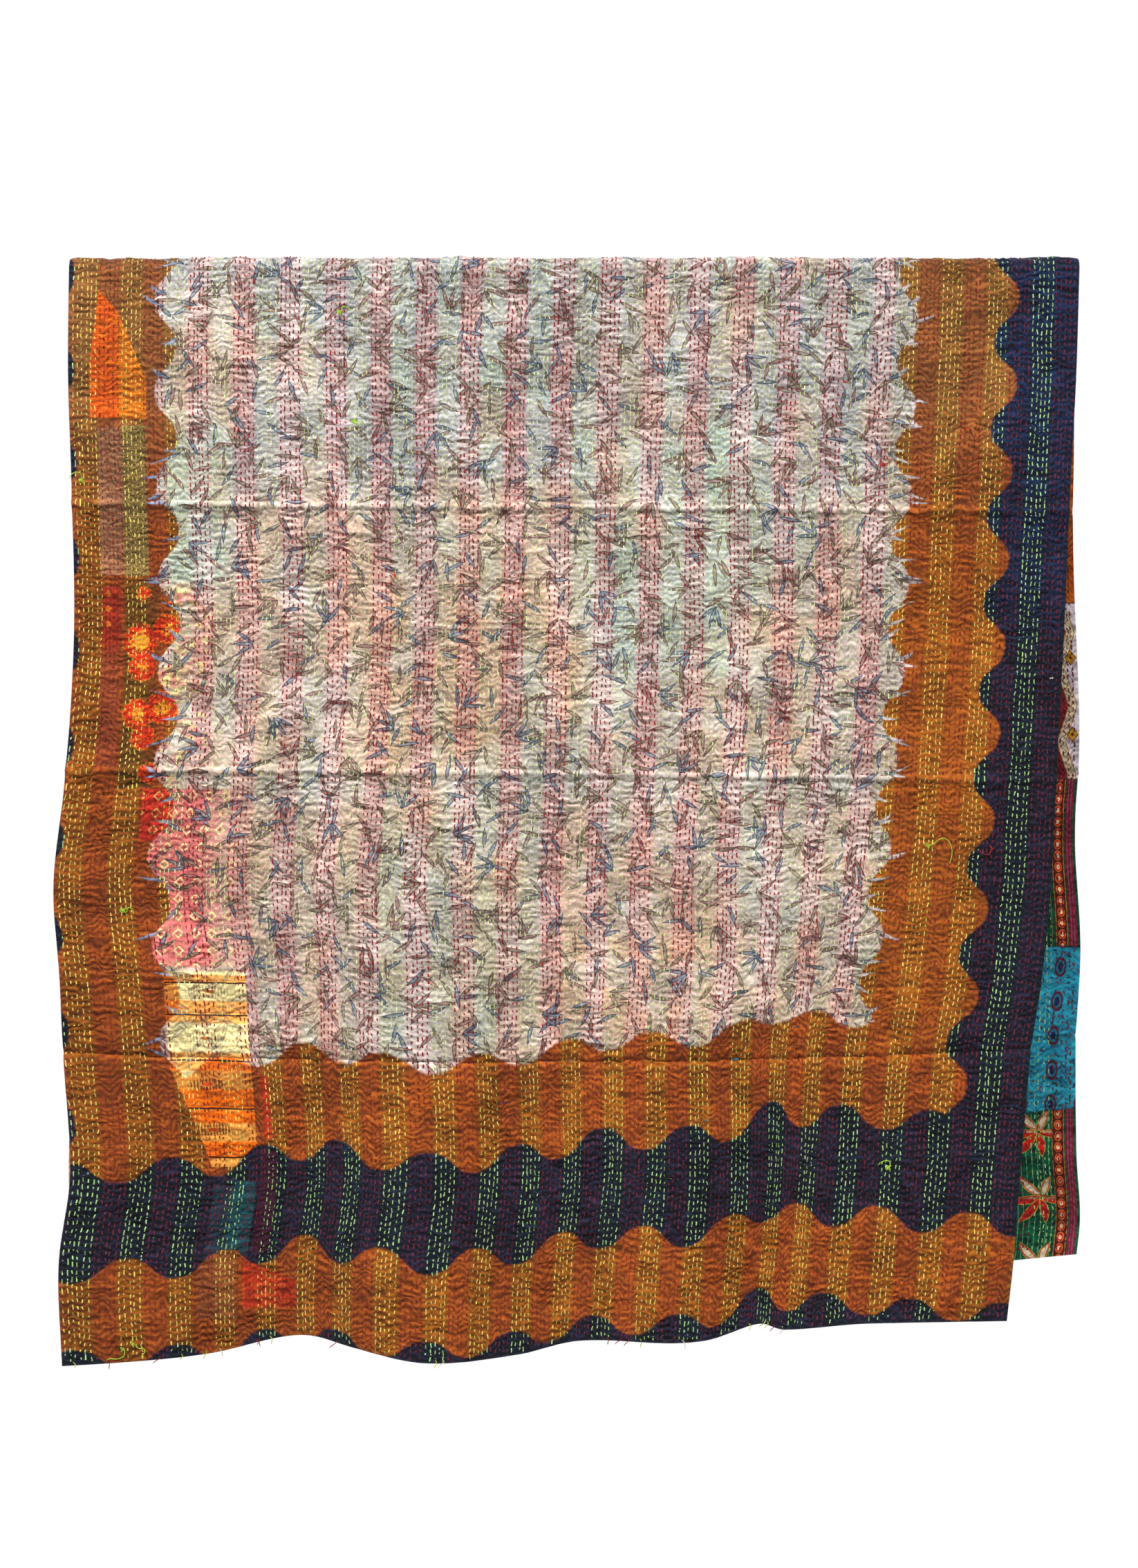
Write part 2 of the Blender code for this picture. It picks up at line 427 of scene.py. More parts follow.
def cosine(x):
    return x.math("COSINE") if isinstance(x, Signal) else np.cos(x)


def sine(x):
    return x.math("SINE") if isinstance(x, Signal) else np.sin(x)


def ramp(x, low, high):
    """0 below low and 1 above high, or the other way round where low is above high, with a soft step."""
    node = x.tree.nodes.new("ShaderNodeMapRange")
    node.interpolation_type = "SMOOTHSTEP"
    rising = low < high
    plug(x.tree, x, node.inputs["Value"])
    node.inputs["From Min"].default_value = min(low, high)
    node.inputs["From Max"].default_value = max(low, high)
    node.inputs["To Min"].default_value = 0.0 if rising else 1.0
    node.inputs["To Max"].default_value = 1.0 if rising else 0.0
    return Signal(x.tree, node.outputs["Result"])


def between(x, low, high, soft=0.0006):
    return ramp(x, low - soft, low + soft) * ramp(x, high + soft, high - soft)


def joined(operation, signals):
    """One signal out of several: their sum, or the greatest or least of them."""
    first, *others = signals
    for other in others:
        first = first.math(operation, other)
    return first


def spacing(x, pitch):
    """Distance to the nearest whole number of pitches."""
    return x.math("PINGPONG", pitch / 2)


def combine(x, y, z=0.0):
    node = x.tree.nodes.new("ShaderNodeCombineXYZ")
    for value, socket in zip((x, y, z), node.inputs):
        plug(x.tree, value, socket)
    return node.outputs[0]


def cloudy(x, y, scale, detail=2.0):
    """Noise from 0 to 1 at a place in the print. scale is in lumps to a metre."""
    node = x.tree.nodes.new("ShaderNodeTexNoise")
    node.inputs["Scale"].default_value = scale
    node.inputs["Detail"].default_value = detail
    plug(x.tree, combine(x, y), node.inputs["Vector"])
    return Signal(x.tree, node.outputs[0])


def scatter(x, y):
    """Three random numbers from 0 to 1 for a cell of a grid."""
    node = x.tree.nodes.new("ShaderNodeTexWhiteNoise")
    node.noise_dimensions = "2D"
    plug(x.tree, combine(x, y), node.inputs["Vector"])
    split = x.tree.nodes.new("ShaderNodeSeparateColor")
    x.tree.links.new(node.outputs["Color"], split.inputs[0])
    return [Signal(x.tree, socket) for socket in split.outputs]


def over(tree, base, colour, mask):
    """A colour laid over another where the mask is 1."""
    node = tree.nodes.new("ShaderNodeMix")
    node.data_type = "RGBA"
    plug(tree, mask, node.inputs["Factor"])
    plug(tree, base, node.inputs["A"])
    plug(tree, colour, node.inputs["B"])
    return node.outputs["Result"]


def rgb(red, green, blue):
    """Linear colour of a colour as a screen shows it, from 0 to 255."""
    channels = [c / 255 for c in (red, green, blue)]
    linear = [c / 12.92 if c <= 0.04045 else ((c + 0.055) / 1.055) ** 2.4 for c in channels]
    return (*linear, 1.0)


# Colours of the print
FIELD = rgb(218, 197, 186)
FIELD_ROSE = rgb(232, 176, 166)
FIELD_STRAW = rgb(192, 194, 176)
# pale colour of the field's painted highlight specks
FIELD_HIGHLIGHT = rgb(255, 240, 226)
LEAF_BLUE = rgb(120, 134, 152)
LEAF_OLIVE = rgb(146, 134, 114)
LEAF_MAUVE = rgb(156, 118, 112)
LINE_BLUE = rgb(54, 64, 80)
LINE_BROWN = rgb(96, 66, 56)
LEAF_LEFT = rgb(150, 160, 188)
LEAF_RIGHT = rgb(222, 208, 204)
BROWN_GOLD = rgb(166, 94, 18)
BROWN_RUST = rgb(178, 80, 24)
BROWN_DARK = rgb(104, 48, 16)
NAVY_TEAL = rgb(18, 31, 44)
NAVY_PLUM = rgb(32, 29, 52)
NAVY_BLACK = rgb(14, 14, 22)

# Threads, as each shows over the colour beneath
Thread = namedtuple("Thread", "yellow width pale brown navy")
YELLOW_THREAD = Thread(True, 0.00115, rgb(226, 236, 164), rgb(246, 226, 112), rgb(190, 232, 150))
RED_THREAD = Thread(False, 0.00150, rgb(142, 10, 22), rgb(140, 38, 18), rgb(116, 28, 50))


class Print:
    """A material on the quilt's cloth, with the print's coordinates as signals."""

    def __init__(self, name, roughness=0.85):
        self.material = bpy.data.materials.new(name)
        self.material.use_nodes = True
        self.tree = self.material.node_tree
        self.shader = self.tree.nodes["Principled BSDF"]
        self.shader.inputs["Roughness"].default_value = roughness
        self.shader.inputs["Specular IOR Level"].default_value = 0.20
        self.shader.inputs["Sheen Weight"].default_value = 0.06
        self.shader.inputs["Sheen Roughness"].default_value = 0.5
        self.across, self.along, self.lift = self.attribute("cloth")
        # crest is the pucker's height, from which the colour gets painted highlights and painted shade.
        self.band, self.crest = self.attribute("rows")[:2]
        self.clouds = {}
        self.wrinkle = None

    def attribute(self, name):
        node = self.tree.nodes.new("ShaderNodeAttribute")
        node.attribute_name = name
        split = self.tree.nodes.new("ShaderNodeSeparateXYZ")
        self.tree.links.new(node.outputs["Vector"], split.inputs[0])
        return [Signal(self.tree, socket) for socket in split.outputs]

    def colour_attribute(self, name):
        node = self.tree.nodes.new("ShaderNodeAttribute")
        node.attribute_name = name
        return node.outputs["Color"]

    def lay(self, base, colour, mask):
        return over(self.tree, base, colour, mask)

    def cloud(self, scale):
        """Noise from 0 to 1, in lumps to a metre. Every user of a scale shares one texture."""
        if scale not in self.clouds:
            self.clouds[scale] = cloudy(self.across, self.along, scale, 0.0 if scale > 400 else 2.0)
        return self.clouds[scale]

    def wrinkles(self):
        """Short slanting wrinkles of the cloth, from -1 to 1."""
        if self.wrinkle is None:
            drift = (cloudy(self.across, self.along * 0.45, 62, 1.0) - 0.5) * 0.034
            self.wrinkle = cosine((self.along + drift) * (TAU / WRINKLE_PITCH))
        return self.wrinkle

    def finish(self, colour, relief=0.0, distance=0.0009):
        """Wires in the colour with painted highlights on the pucker's and wrinkles' crests and painted shade
        between them, with a crinkle and the weave.
        """
        wrinkle = self.wrinkles()
        # Painted highlights and painted shade: the colour is scaled up on crests and down in troughs and
        # along the creases' painted shadow lines.
        painted_light_scale = self.tree.nodes.new("ShaderNodeVectorMath")
        painted_light_scale.operation = "SCALE"
        plug(self.tree, colour, painted_light_scale.inputs[0])
        plug(self.tree, ramp(self.crest, -1.6, 2.0) * 0.66 + wrinkle * 0.17 + 0.48, painted_light_scale.inputs["Scale"])
        crinkle = cloudy(self.across * 0.45, self.along, 300, 1.0)
        weave = sine(self.across * (TAU / THREAD_PITCH)) * sine(self.along * (TAU / THREAD_PITCH))
        bump = self.tree.nodes.new("ShaderNodeBump")
        bump.inputs["Distance"].default_value = distance
        bump.inputs["Strength"].default_value = 1.0
        plug(self.tree, crinkle * 2.2 + wrinkle * 0.36 + weave * 0.12 + relief, bump.inputs["Height"])
        self.tree.links.new(bump.outputs["Normal"], self.shader.inputs["Normal"])
        self.tree.links.new(painted_light_scale.outputs[0], self.shader.inputs["Base Color"])
        return self.material


def leaf_sprigs(across, along, cell, turn, blades, half, skipped):
    """How far inside a printed leaf a point lies, in metres, and a random tone. A cell has one sprig."""
    cos, sin = math.cos(turn), math.sin(turn)
    x = across * cos + along * sin
    y = along * cos - across * sin
    column, row = (x / cell).math("FLOOR"), (y / cell).math("FLOOR")
    first, second, third = scatter(column + turn * 10, row)
    reach = half if len(blades) == 1 else 2 * half
    slack = cell - 2 * reach
    u = x - (column + 0.5) * cell - (first - 0.5) * slack
    v = y - (row + 0.5) * cell - (second - 0.5) * slack
    leaves = []
    for blade in blades:
        heading = third * TAU + blade
        c, s = cosine(heading), sine(heading)
        shift = 0.0 if len(blades) == 1 else half
        bx = (u * c + v * s - shift) / half
        by = v * c - u * s
        width = (bx * bx * -1.0 + 1.0) * (bx * -0.30 + 1.0) * 0.0022
        leaves.append(width - abs(by + bx * bx * 0.0007))
    kept = ramp((first + second * 3.7 + third * 5.3).math("FRACT"), skipped, skipped + 0.01)
    return joined("MAXIMUM", leaves) + (kept - 1.0) * 0.01, (third * 7.7 + first * 3.1).math("FRACT")


def edge_leaves(side, across, along, pitch, seed):
    """As leaf_sprigs, for leaves that point out over a side of the field, one to a pitch, few at the left."""
    row = (along / pitch).math("FLOOR")
    first, second, third = scatter(row, seed)
    v = along - (row + 0.5) * pitch - (first - 0.5) * (pitch * 0.3)
    u = side - third * 0.0060
    heading = (second - 0.5) * 1.2
    c, s = cosine(heading), sine(heading)
    bx = ((u * c + v * s) / 0.0150).math("MINIMUM", 1.2).math("MAXIMUM", -1.2)
    by = v * c - u * s
    width = (bx * bx * -1.0 + 1.0) * (bx * -0.40 + 1.0) * 0.0020
    missing = ramp(first, 0.55, 0.56) * ramp(across, 0.55, 0.45)
    return width - abs(by + bx * bx * 0.0012) - missing * 0.01, (first * 5.0 + third).math("FRACT")


Grounds = namedtuple("Grounds", "field brown navy")


def show(m, grounds, mask, field=None, brown=None, navy=None):
    """The print's three grounds, with a cloth beneath showing through them where the mask is 1."""
    shown = []
    for ground, colour in zip(grounds, (field, brown, navy)):
        shown.append(ground if colour is None else m.lay(ground, colour, mask))
    return Grounds(*shown)


def box(x, y, left, right, top, bottom, soft=0.0008):
    return between(x, left, right, soft) * between(y, top, bottom, soft)


def away(x, y, at_x, at_y):
    """Distance from a point."""
    dx, dy = x - at_x, y - at_y
    return (dx * dx + dy * dy).math("SQRT")


def flecks(m):
    """Fine dark flecks of a woven or hatched print."""
    return ramp(m.cloud(600), 0.52, 0.58)


def flower(x, y, at_x, at_y, radius):
    """How far inside a round flower a point lies, in metres, about right near its edge."""
    dx, dy = x - at_x, y - at_y
    return (dx * dx + dy * dy) * (-0.5 / radius) + radius / 2


Bloom = namedtuple("Bloom", "across along radius")
BLOOMS = (
    Bloom(0.074, 0.424, 0.0200),
    Bloom(0.104, 0.411, 0.0165),
    Bloom(0.077, 0.452, 0.0160),
    Bloom(0.108, 0.462, 0.0130),
    Bloom(0.073, 0.503, 0.0170),
    Bloom(0.100, 0.496, 0.0185),
    Bloom(0.080, 0.528, 0.0140),
    Bloom(0.088, 0.567, 0.0110),
    Bloom(0.078, 0.372, 0.0080),
    Bloom(0.113, 0.378, 0.0095),
)


def orange_wedge(m, grounds):
    a, b = m.across, m.along
    sides = (
        (b - 0.043) * 0.92 + 0.033 - a,
        (b - 0.067) * 0.42 + 0.055 - a,
        (a - 0.085) * -1.0,
        a - 0.023,
        a + (b - 0.043) * 0.12 - 0.033,
        (b - 0.1805) * -1.0 + a * 0.03,
    )
    inside = joined("MINIMUM", sides) + (m.cloud(110) - 0.5) * 0.002
    colour = m.lay(rgb(238, 96, 18), rgb(232, 126, 24), ramp(a, 0.050, 0.058))
    colour = m.lay(colour, rgb(255, 128, 20), ramp(m.cloud(60), 0.50, 0.66) * 0.7)
    checks = ramp(spacing(b + a * 0.1, 0.0052), 0.0006, 0.0002) * 0.5
    colour = m.lay(colour, rgb(150, 40, 10), checks)
    mask = ramp(inside, -0.0006, 0.0010)
    grounds = show(m, grounds, mask * 0.95, brown=colour)
    seam = box(a, b, 0.026, 0.098, 0.181, 0.1845)
    return show(m, grounds, seam * 0.5, brown=BROWN_DARK)


def woven_pair(m, grounds):
    a, b = m.across, m.along
    woven = ramp(spacing(a, 0.0036), 0.0009, 0.0004)
    mauve = m.lay(rgb(170, 120, 84), rgb(96, 50, 32), flecks(m) * 0.6)
    mauve = m.lay(mauve, rgb(184, 130, 98), woven * 0.5)
    olive = m.lay(rgb(156, 132, 76), rgb(76, 52, 20), flecks(m) * 0.8)
    grounds = show(m, grounds, box(a, b, 0.030, 0.057, 0.192, 0.352, 0.001) * 0.9, brown=mauve)
    grounds = show(m, grounds, box(a, b, 0.057, 0.084, 0.190, 0.353, 0.001) * 0.9, brown=olive)
    seams = box(a, b, 0.026, 0.090, 0.354, 0.358, 0.001)
    return show(m, grounds, seams * 0.5, brown=BROWN_DARK)


def striped_and_flowered(m, grounds):
    a, b = m.across, m.along
    stripes = ramp(spacing(a, 0.0042), 0.0013, 0.0007)
    red = m.lay(rgb(142, 44, 22), rgb(190, 44, 24), stripes)
    red = m.lay(red, rgb(156, 72, 38), ramp(b, 0.420, 0.445))
    grounds = show(m, grounds, box(a, b, 0.031, 0.052, 0.365, 0.560, 0.001) * 0.9, brown=red)
    spots = ramp(away(a, spacing(b - 0.372, 0.0165), 0.038, 0.0), 0.0038, 0.0028) * ramp(b, 0.412, 0.408)
    grounds = show(m, grounds, spots * ramp(b, 0.366, 0.368), brown=rgb(240, 120, 36))

    ground = m.lay(rgb(104, 70, 20), rgb(60, 32, 10), flecks(m) * 0.6)
    grounds = show(m, grounds, box(a, b, 0.057, 0.093, 0.362, 0.583, 0.002) * 0.75, brown=ground)
    soft = (m.cloud(280) - 0.5) * 0.013
    inside = joined("MAXIMUM", [flower(a, b, *bloom) for bloom in BLOOMS])
    petal = m.lay(rgb(238, 66, 18), rgb(196, 34, 16), ramp(m.cloud(280), 0.44, 0.54) * 0.8)
    petal = m.lay(petal, rgb(255, 168, 40), ramp(inside + soft, 0.0070, 0.0082))
    petal = m.lay(petal, rgb(250, 150, 40), ramp(inside + soft, 0.0020, 0.0010) * 0.8)
    faded = m.lay(rgb(230, 150, 136), rgb(250, 228, 150), ramp(m.cloud(110), 0.50, 0.56))
    bright = ramp(inside + soft, 0.0, 0.0012)
    grounds = show(m, grounds, bright * ramp(a, 0.128, 0.118), field=faded, brown=petal)
    clouds = ramp(m.cloud(50), 0.48, 0.54) * box(a, b, 0.09, 0.150, 0.366, 0.580, 0.008)
    grounds = show(m, grounds, clouds * 0.75, field=faded)
    mint = box(a + (m.cloud(50) - 0.5) * 0.08, b, 0.100, 0.158, 0.205, 0.360, 0.008) * 0.34
    return show(m, grounds, mint, field=rgb(176, 214, 194))


def ringed_red(m, grounds):
    a, b = m.across, m.along
    x = spacing(a - 0.1208 + (b - 0.7584) * 0.10, 0.0183)
    y = spacing(b - 0.7584, 0.0186)
    d = x + y
    rings = between(d, 0.0036, 0.0057, 0.0003)
    red = m.lay(rgb(226, 58, 38), rgb(190, 42, 28), ramp(m.cloud(280), 0.45, 0.6))
    faded = m.lay(rgb(252, 122, 118), rgb(228, 174, 160), ramp(a + (m.cloud(60) - 0.5) * 0.04, 0.140, 0.178))
    faded = m.lay(faded, rgb(255, 150, 144), ramp(m.cloud(60), 0.50, 0.62) * 0.5)
    faded = m.lay(faded, rgb(276, 250, 170), rings)
    faded = m.lay(faded, rgb(190, 60, 70), ramp(d, 0.0016, 0.0010))
    red = m.lay(red, rgb(250, 190, 110), rings)
    mask = box(a, b, 0.084, 0.190, 0.584, 0.776, 0.0015)
    grounds = show(m, grounds, mask * 0.92, field=faded)
    return show(m, grounds, box(a, b, 0.084, 0.120, 0.584, 0.640, 0.0015) * 0.95, brown=red)


STRIPE_LINES = (0.7905, 0.8255, 0.8755, 0.9265, 0.9790)
STRIPE_BANDS = (
    (0.782, 0.7905),
    (0.810, 0.834),
    (0.866, 0.886),
    (0.905, 0.9265),
    (0.9285, 0.942),
    (0.962, 0.9790),
)
STRIPE_OVALS = ((0.150, 0.803), (0.142, 0.853), (0.140, 0.903), (0.142, 0.952))


def striped_orange(m, grounds):
    a, b = m.across, m.along
    bend = (m.cloud(30) - 0.5) * 0.003
    c = b + bend - a * 0.020
    left = (b - 0.885).math("MAXIMUM", 0.0) * 0.34 + 0.1020
    edges = ramp(a - left, -0.0010, 0.0010) * ramp(a + (m.cloud(110) - 0.5) * 0.003, 0.1930, 0.1905)
    mask = edges * between(b, 0.781, 0.992, 0.001)
    bands = joined("ADD", [between(c, top, bottom, 0.0012) for top, bottom in STRIPE_BANDS])
    thick = [ramp(abs(c - at), 0.0011, 0.0006) for at in STRIPE_LINES]
    thin = [ramp(abs(c - at + 0.0030), 0.0006, 0.0002) * 0.6 for at in STRIPE_LINES]
    lines = joined("ADD", thick + thin)
    ovals = [away(a / 0.021, b / 0.0065, x / 0.021, y / 0.0065) for x, y in STRIPE_OVALS]
    hatching = ramp(spacing(a, 0.0034), 0.0011, 0.0006)
    motifs = joined("ADD", [between(d, 0.42, 1.0, 0.08) for d in ovals]) * hatching
    cores = joined("ADD", [ramp(d, 0.34, 0.22) for d in ovals])
    pale = m.lay(rgb(290, 266, 190), rgb(296, 200, 96), bands)
    pale = m.lay(pale, rgb(244, 140, 60), cores)
    pale = m.lay(pale, rgb(120, 64, 40), motifs * 0.5)
    pale = m.lay(pale, rgb(70, 44, 30), lines)
    deep = m.lay(rgb(250, 166, 70), rgb(262, 116, 4), bands)
    deep = m.lay(deep, rgb(196, 100, 40), ramp(b, 0.926, 0.895) * 0.4)
    deep = m.lay(deep, rgb(188, 96, 34), ramp(m.cloud(60), 0.52, 0.64) * 0.4)
    deep = m.lay(deep, rgb(214, 72, 14), cores)
    deep = m.lay(deep, rgb(92, 44, 14), motifs * 0.85)
    deep = m.lay(deep, rgb(60, 26, 10), lines)
    grounds = show(m, grounds, mask * 0.99, field=pale, brown=deep)
    streak = box(a, b, 0.201, 0.211, 0.895, 0.962, 0.0025)
    return show(m, grounds, streak * 0.85, brown=rgb(206, 48, 22))


def under_hem(m, grounds):
    a, b = m.across, m.along
    teal = m.lay(rgb(30, 80, 88), rgb(22, 52, 62), flecks(m) * 0.6)
    dim = m.lay(rgb(34, 56, 70), rgb(58, 44, 62), ramp(m.cloud(60), 0.5, 0.6))
    mauve = m.lay(rgb(156, 86, 44), rgb(96, 48, 26), flecks(m) * 0.6)
    grounds = show(m, grounds, box(a, b, 0.141, 0.163, 1.012, 1.086, 0.001) * 0.9, navy=dim)
    grounds = show(m, grounds, box(a, b, 0.163, 0.190, 1.008, 1.088, 0.001) * 0.9, navy=teal)
    grounds = show(m, grounds, box(a, b, 0.195, 0.216, 0.975, 1.086, 0.002) * 0.8, navy=rgb(66, 22, 44))
    grounds = show(m, grounds, box(a, b, 0.133, 0.178, 1.086, 1.156, 0.001) * 0.85, brown=mauve)
    red = m.lay(rgb(192, 44, 20), rgb(212, 72, 32), ramp(m.cloud(110), 0.5, 0.6))
    slant = ramp(b - (a - 0.185) * 0.35, 1.092, 1.095)
    red_mask = box(a, b, 0.185, 0.252, 1.05, 1.146, 0.002) * slant
    return show(m, grounds, red_mask * 0.8, brown=red)


UNDER_PATCHES = (orange_wedge, woven_pair, striped_and_flowered, ringed_red, striped_orange, under_hem)
PATCHED_TO = 0.262  # the patches beneath the face lie between its left edge and here, on the front fall


def sari_print(m, patches):
    """The face cloth's colour: a pale leafy field within scalloped brown and navy borders."""
    a, b = m.across, m.along
    wobble = (m.cloud(110) - 0.5) * 0.0035
    grain = (m.cloud(1500) - 0.5) * 0.0034
    mottle = m.cloud(60)

    field = m.colour_attribute("tint")
    field = m.lay(field, FIELD_ROSE, ramp(m.band, 0.20, 0.32) * 0.34)
    field = m.lay(field, FIELD_STRAW, ramp(m.band, 0.26, 0.16) * 0.30)
    # Painted highlights: pale specks that stand in for light on the pucker.
    field = m.lay(field, FIELD_HIGHLIGHT, ramp(m.cloud(280), 0.48, 0.66) * 0.52)
    field = m.lay(field, rgb(156, 118, 100), ramp(m.cloud(280), 0.46, 0.32) * 0.18)

    streaks = cloudy(a * 0.5, b, 300)
    brown = m.lay(BROWN_GOLD, BROWN_RUST, ramp(m.band, 0.22, 0.30) * 0.85)
    brown = m.lay(brown, BROWN_DARK, ramp(mottle, 0.60, 0.36) * 0.40)
    brown = m.lay(brown, BROWN_DARK, ramp(streaks, 0.50, 0.34) * 0.45)
    brown = m.lay(brown, rgb(186, 112, 46), ramp(streaks, 0.55, 0.70) * 0.40)

    # Painted shade in the wrinkles' troughs and painted highlights on their ridges, over the brown.
    folds = ramp(m.wrinkles(), -0.20, -0.90) * ramp(m.cloud(280), 0.40, 0.54)
    painted_ridge_highlights = ramp(m.wrinkles(), 0.40, 0.95) * ramp(m.cloud(280), 0.60, 0.46)
    brown = m.lay(brown, BROWN_DARK, folds * 0.50)
    brown = m.lay(brown, rgb(200, 120, 52), painted_ridge_highlights * 0.20)

    right_side = ramp(a, 0.88, 0.92) * ramp(m.lift, 0.26, 0.34) * ramp(b, 0.20, 0.40)
    brown = m.lay(brown, rgb(186, 102, 26), right_side * 0.45)
    brown = m.lay(brown, BROWN_DARK, ramp(a, 0.24, 0.16) * 0.22)
    brown = m.lay(brown, rgb(140, 108, 66), ramp(b, 0.34, 0.12) * 0.40)

    navy = m.lay(NAVY_TEAL, NAVY_PLUM, ramp(m.band, 0.22, 0.30))
    upper = ramp(b, 0.46, 0.34) * ramp(a, 0.98, 1.0)
    navy = m.lay(navy, rgb(18, 44, 84), upper * 0.8)
    navy = m.lay(navy, NAVY_BLACK, ramp(mottle, 0.62, 0.38) * 0.6)
    # Painted shade in the wrinkles' troughs and painted bluish highlights on their ridges, over the navy.
    navy = m.lay(navy, NAVY_BLACK, folds * 0.6)
    navy = m.lay(navy, rgb(52, 56, 78), painted_ridge_highlights * 0.4)

    grounds = Grounds(field, brown, navy)
    for patch in patches:
        grounds = patch(m, grounds)
    field, brown, navy = grounds

    right = past(RIGHT_BROWN, a, b) + wobble + grain
    left = past(LEFT_BROWN, a, b) + wobble + grain
    side = right.math("MAXIMUM", left)
    edges = (edge_leaves(side, a, b, 0.0290, 3.0), edge_leaves(side, a, b + 0.01, 0.0430, 8.0))
    poking_out = edges[0][0].math("MAXIMUM", edges[1][0])
    colour = field
    faint = box(a, b, 0.100, 0.193, 0.781, 0.900) * -0.55 + 1.0 if patches else 1.0
    layers = (
        leaf_sprigs(a, b, 0.031, 0.35, (0.0,), 0.0125, 0.14),
        leaf_sprigs(a, b, 0.034, 1.25, (0.0,), 0.0140, 0.14),
        leaf_sprigs(a, b, 0.029, 2.75, (0.0,), 0.0115, 0.22),
        leaf_sprigs(a, b, 0.060, 2.10, (-0.55, 0.0, 0.62), 0.0125, 0.10),
        *edges,
    )
    for inside, tone in layers:
        ink = ramp(inside, -0.0003, 0.0001) * faint
        fill = m.lay(LEAF_BLUE, LEAF_OLIVE, ramp(tone, 0.30, 0.34))
        fill = m.lay(fill, LEAF_MAUVE, ramp(tone, 0.66, 0.70))
        line = m.lay(LINE_BLUE, LINE_BROWN, ramp(tone, 0.30, 0.34))
        colour = m.lay(colour, fill, ink * 0.80)
        colour = m.lay(colour, line, ink * ramp(inside, 0.0009, 0.0005) * 0.95)

    # Brown borders, over which leaves of the field poke out at the sides
    brown_side = ramp(side, -0.0014, 0.0014)
    below = past(LOWER_BROWN, m.lift, a) + wobble + grain
    brown_below = ramp(below, -0.0020, 0.0020)
    poking = ramp(poking_out, -0.0002, 0.0002)
    colour = m.lay(colour, brown, (brown_side * (poking * -1.0 + 1.0)).math("MAXIMUM", brown_below))
    shown = poking * brown_side * (brown_below * -1.0 + 1.0)
    edge_leaf = m.lay(LEAF_LEFT, LEAF_RIGHT, ramp(a, 0.45, 0.55))
    edge_line = ramp(poking_out, 0.0007, 0.0003) + ramp(abs(poking_out - 0.0019), 0.0004, 0.0001) * 0.6
    edge_leaf = m.lay(edge_leaf, rgb(92, 88, 104), edge_line * 0.6)
    colour = m.lay(colour, edge_leaf, shown * 0.9)

    # Navy borders, and the brown and navy bands along the hem
    navy_side = past(RIGHT_NAVY, a, b).math("MAXIMUM", past(LEFT_NAVY, a, b)) + wobble
    navy_below = past(LOWER_NAVY, m.lift, a) + wobble
    navy_mask = ramp(navy_side.math("MAXIMUM", navy_below) + grain, -0.0014, 0.0016)
    colour = m.lay(colour, navy, navy_mask)
    colour = m.lay(colour, brown, ramp(past(HEM_BROWN, m.lift, a) + wobble + grain, -0.0014, 0.0014))
    colour = m.lay(colour, navy, ramp(past(HEM_NAVY, m.lift, a) + wobble + grain, -0.0014, 0.0014))
    return colour


def face_material(name, patches):
    m = Print(name)
    return m.finish(sari_print(m, patches))


def uneven(m, first, second):
    """A plain dyed cloth, which wavers between two colours."""
    return m.lay(first, second, ramp(m.cloud(90), 0.45, 0.6))


# Patches of the reverse, from the crown down the back fall. They are measured inwards from the right edge.
def orange_dashes(m, inward, down):
    colour = uneven(m, rgb(214, 108, 30), rgb(188, 82, 22))
    x, y = spacing(inward, 0.0120), spacing(down, 0.0090)
    return m.lay(colour, rgb(140, 34, 20), ramp(x, 0.0011, 0.0007) * ramp(y, 0.0030, 0.0026))


def white_scrolls(m, inward, down):
    middle = spacing(down - 0.452, 0.080) * -0.33 + 0.0200
    off = inward - middle
    ground = uneven(m, rgb(252, 240, 244), rgb(226, 210, 224))
    ground = m.lay(ground, rgb(134, 16, 46), ramp(off, 0.0045, 0.0050))
    scroll = ramp(abs(off), 0.0052, 0.0046)
    vines = spacing(inward + sine(down * (TAU / 0.0110)) * 0.0018, 0.0042)
    ground = m.lay(ground, rgb(156, 84, 62), ramp(vines, 0.0007, 0.0003) * ramp(inward, 0.0045, 0.0052) * 0.7)
    colour = m.lay(ground, rgb(240, 222, 188), scroll)
    curls = ramp(abs(off + sine(down * (TAU / 0.0090)) * 0.0022), 0.0009, 0.0005)
    colour = m.lay(colour, rgb(150, 70, 40), scroll * curls)
    colour = m.lay(colour, rgb(184, 130, 40), ramp(abs(abs(off) - 0.0046), 0.0007, 0.0003))
    x, y = abs(inward - 0.0078), spacing(down - 0.440, 0.084)
    gold = ramp(x * 1.3 + y, 0.0078, 0.0070)
    colour = m.lay(colour, rgb(120, 24, 30), ramp(x * 1.3 + y, 0.0092, 0.0084))
    colour = m.lay(colour, rgb(214, 160, 40), gold)
    return m.lay(colour, rgb(120, 24, 30), ramp(x + y, 0.0024, 0.0018))


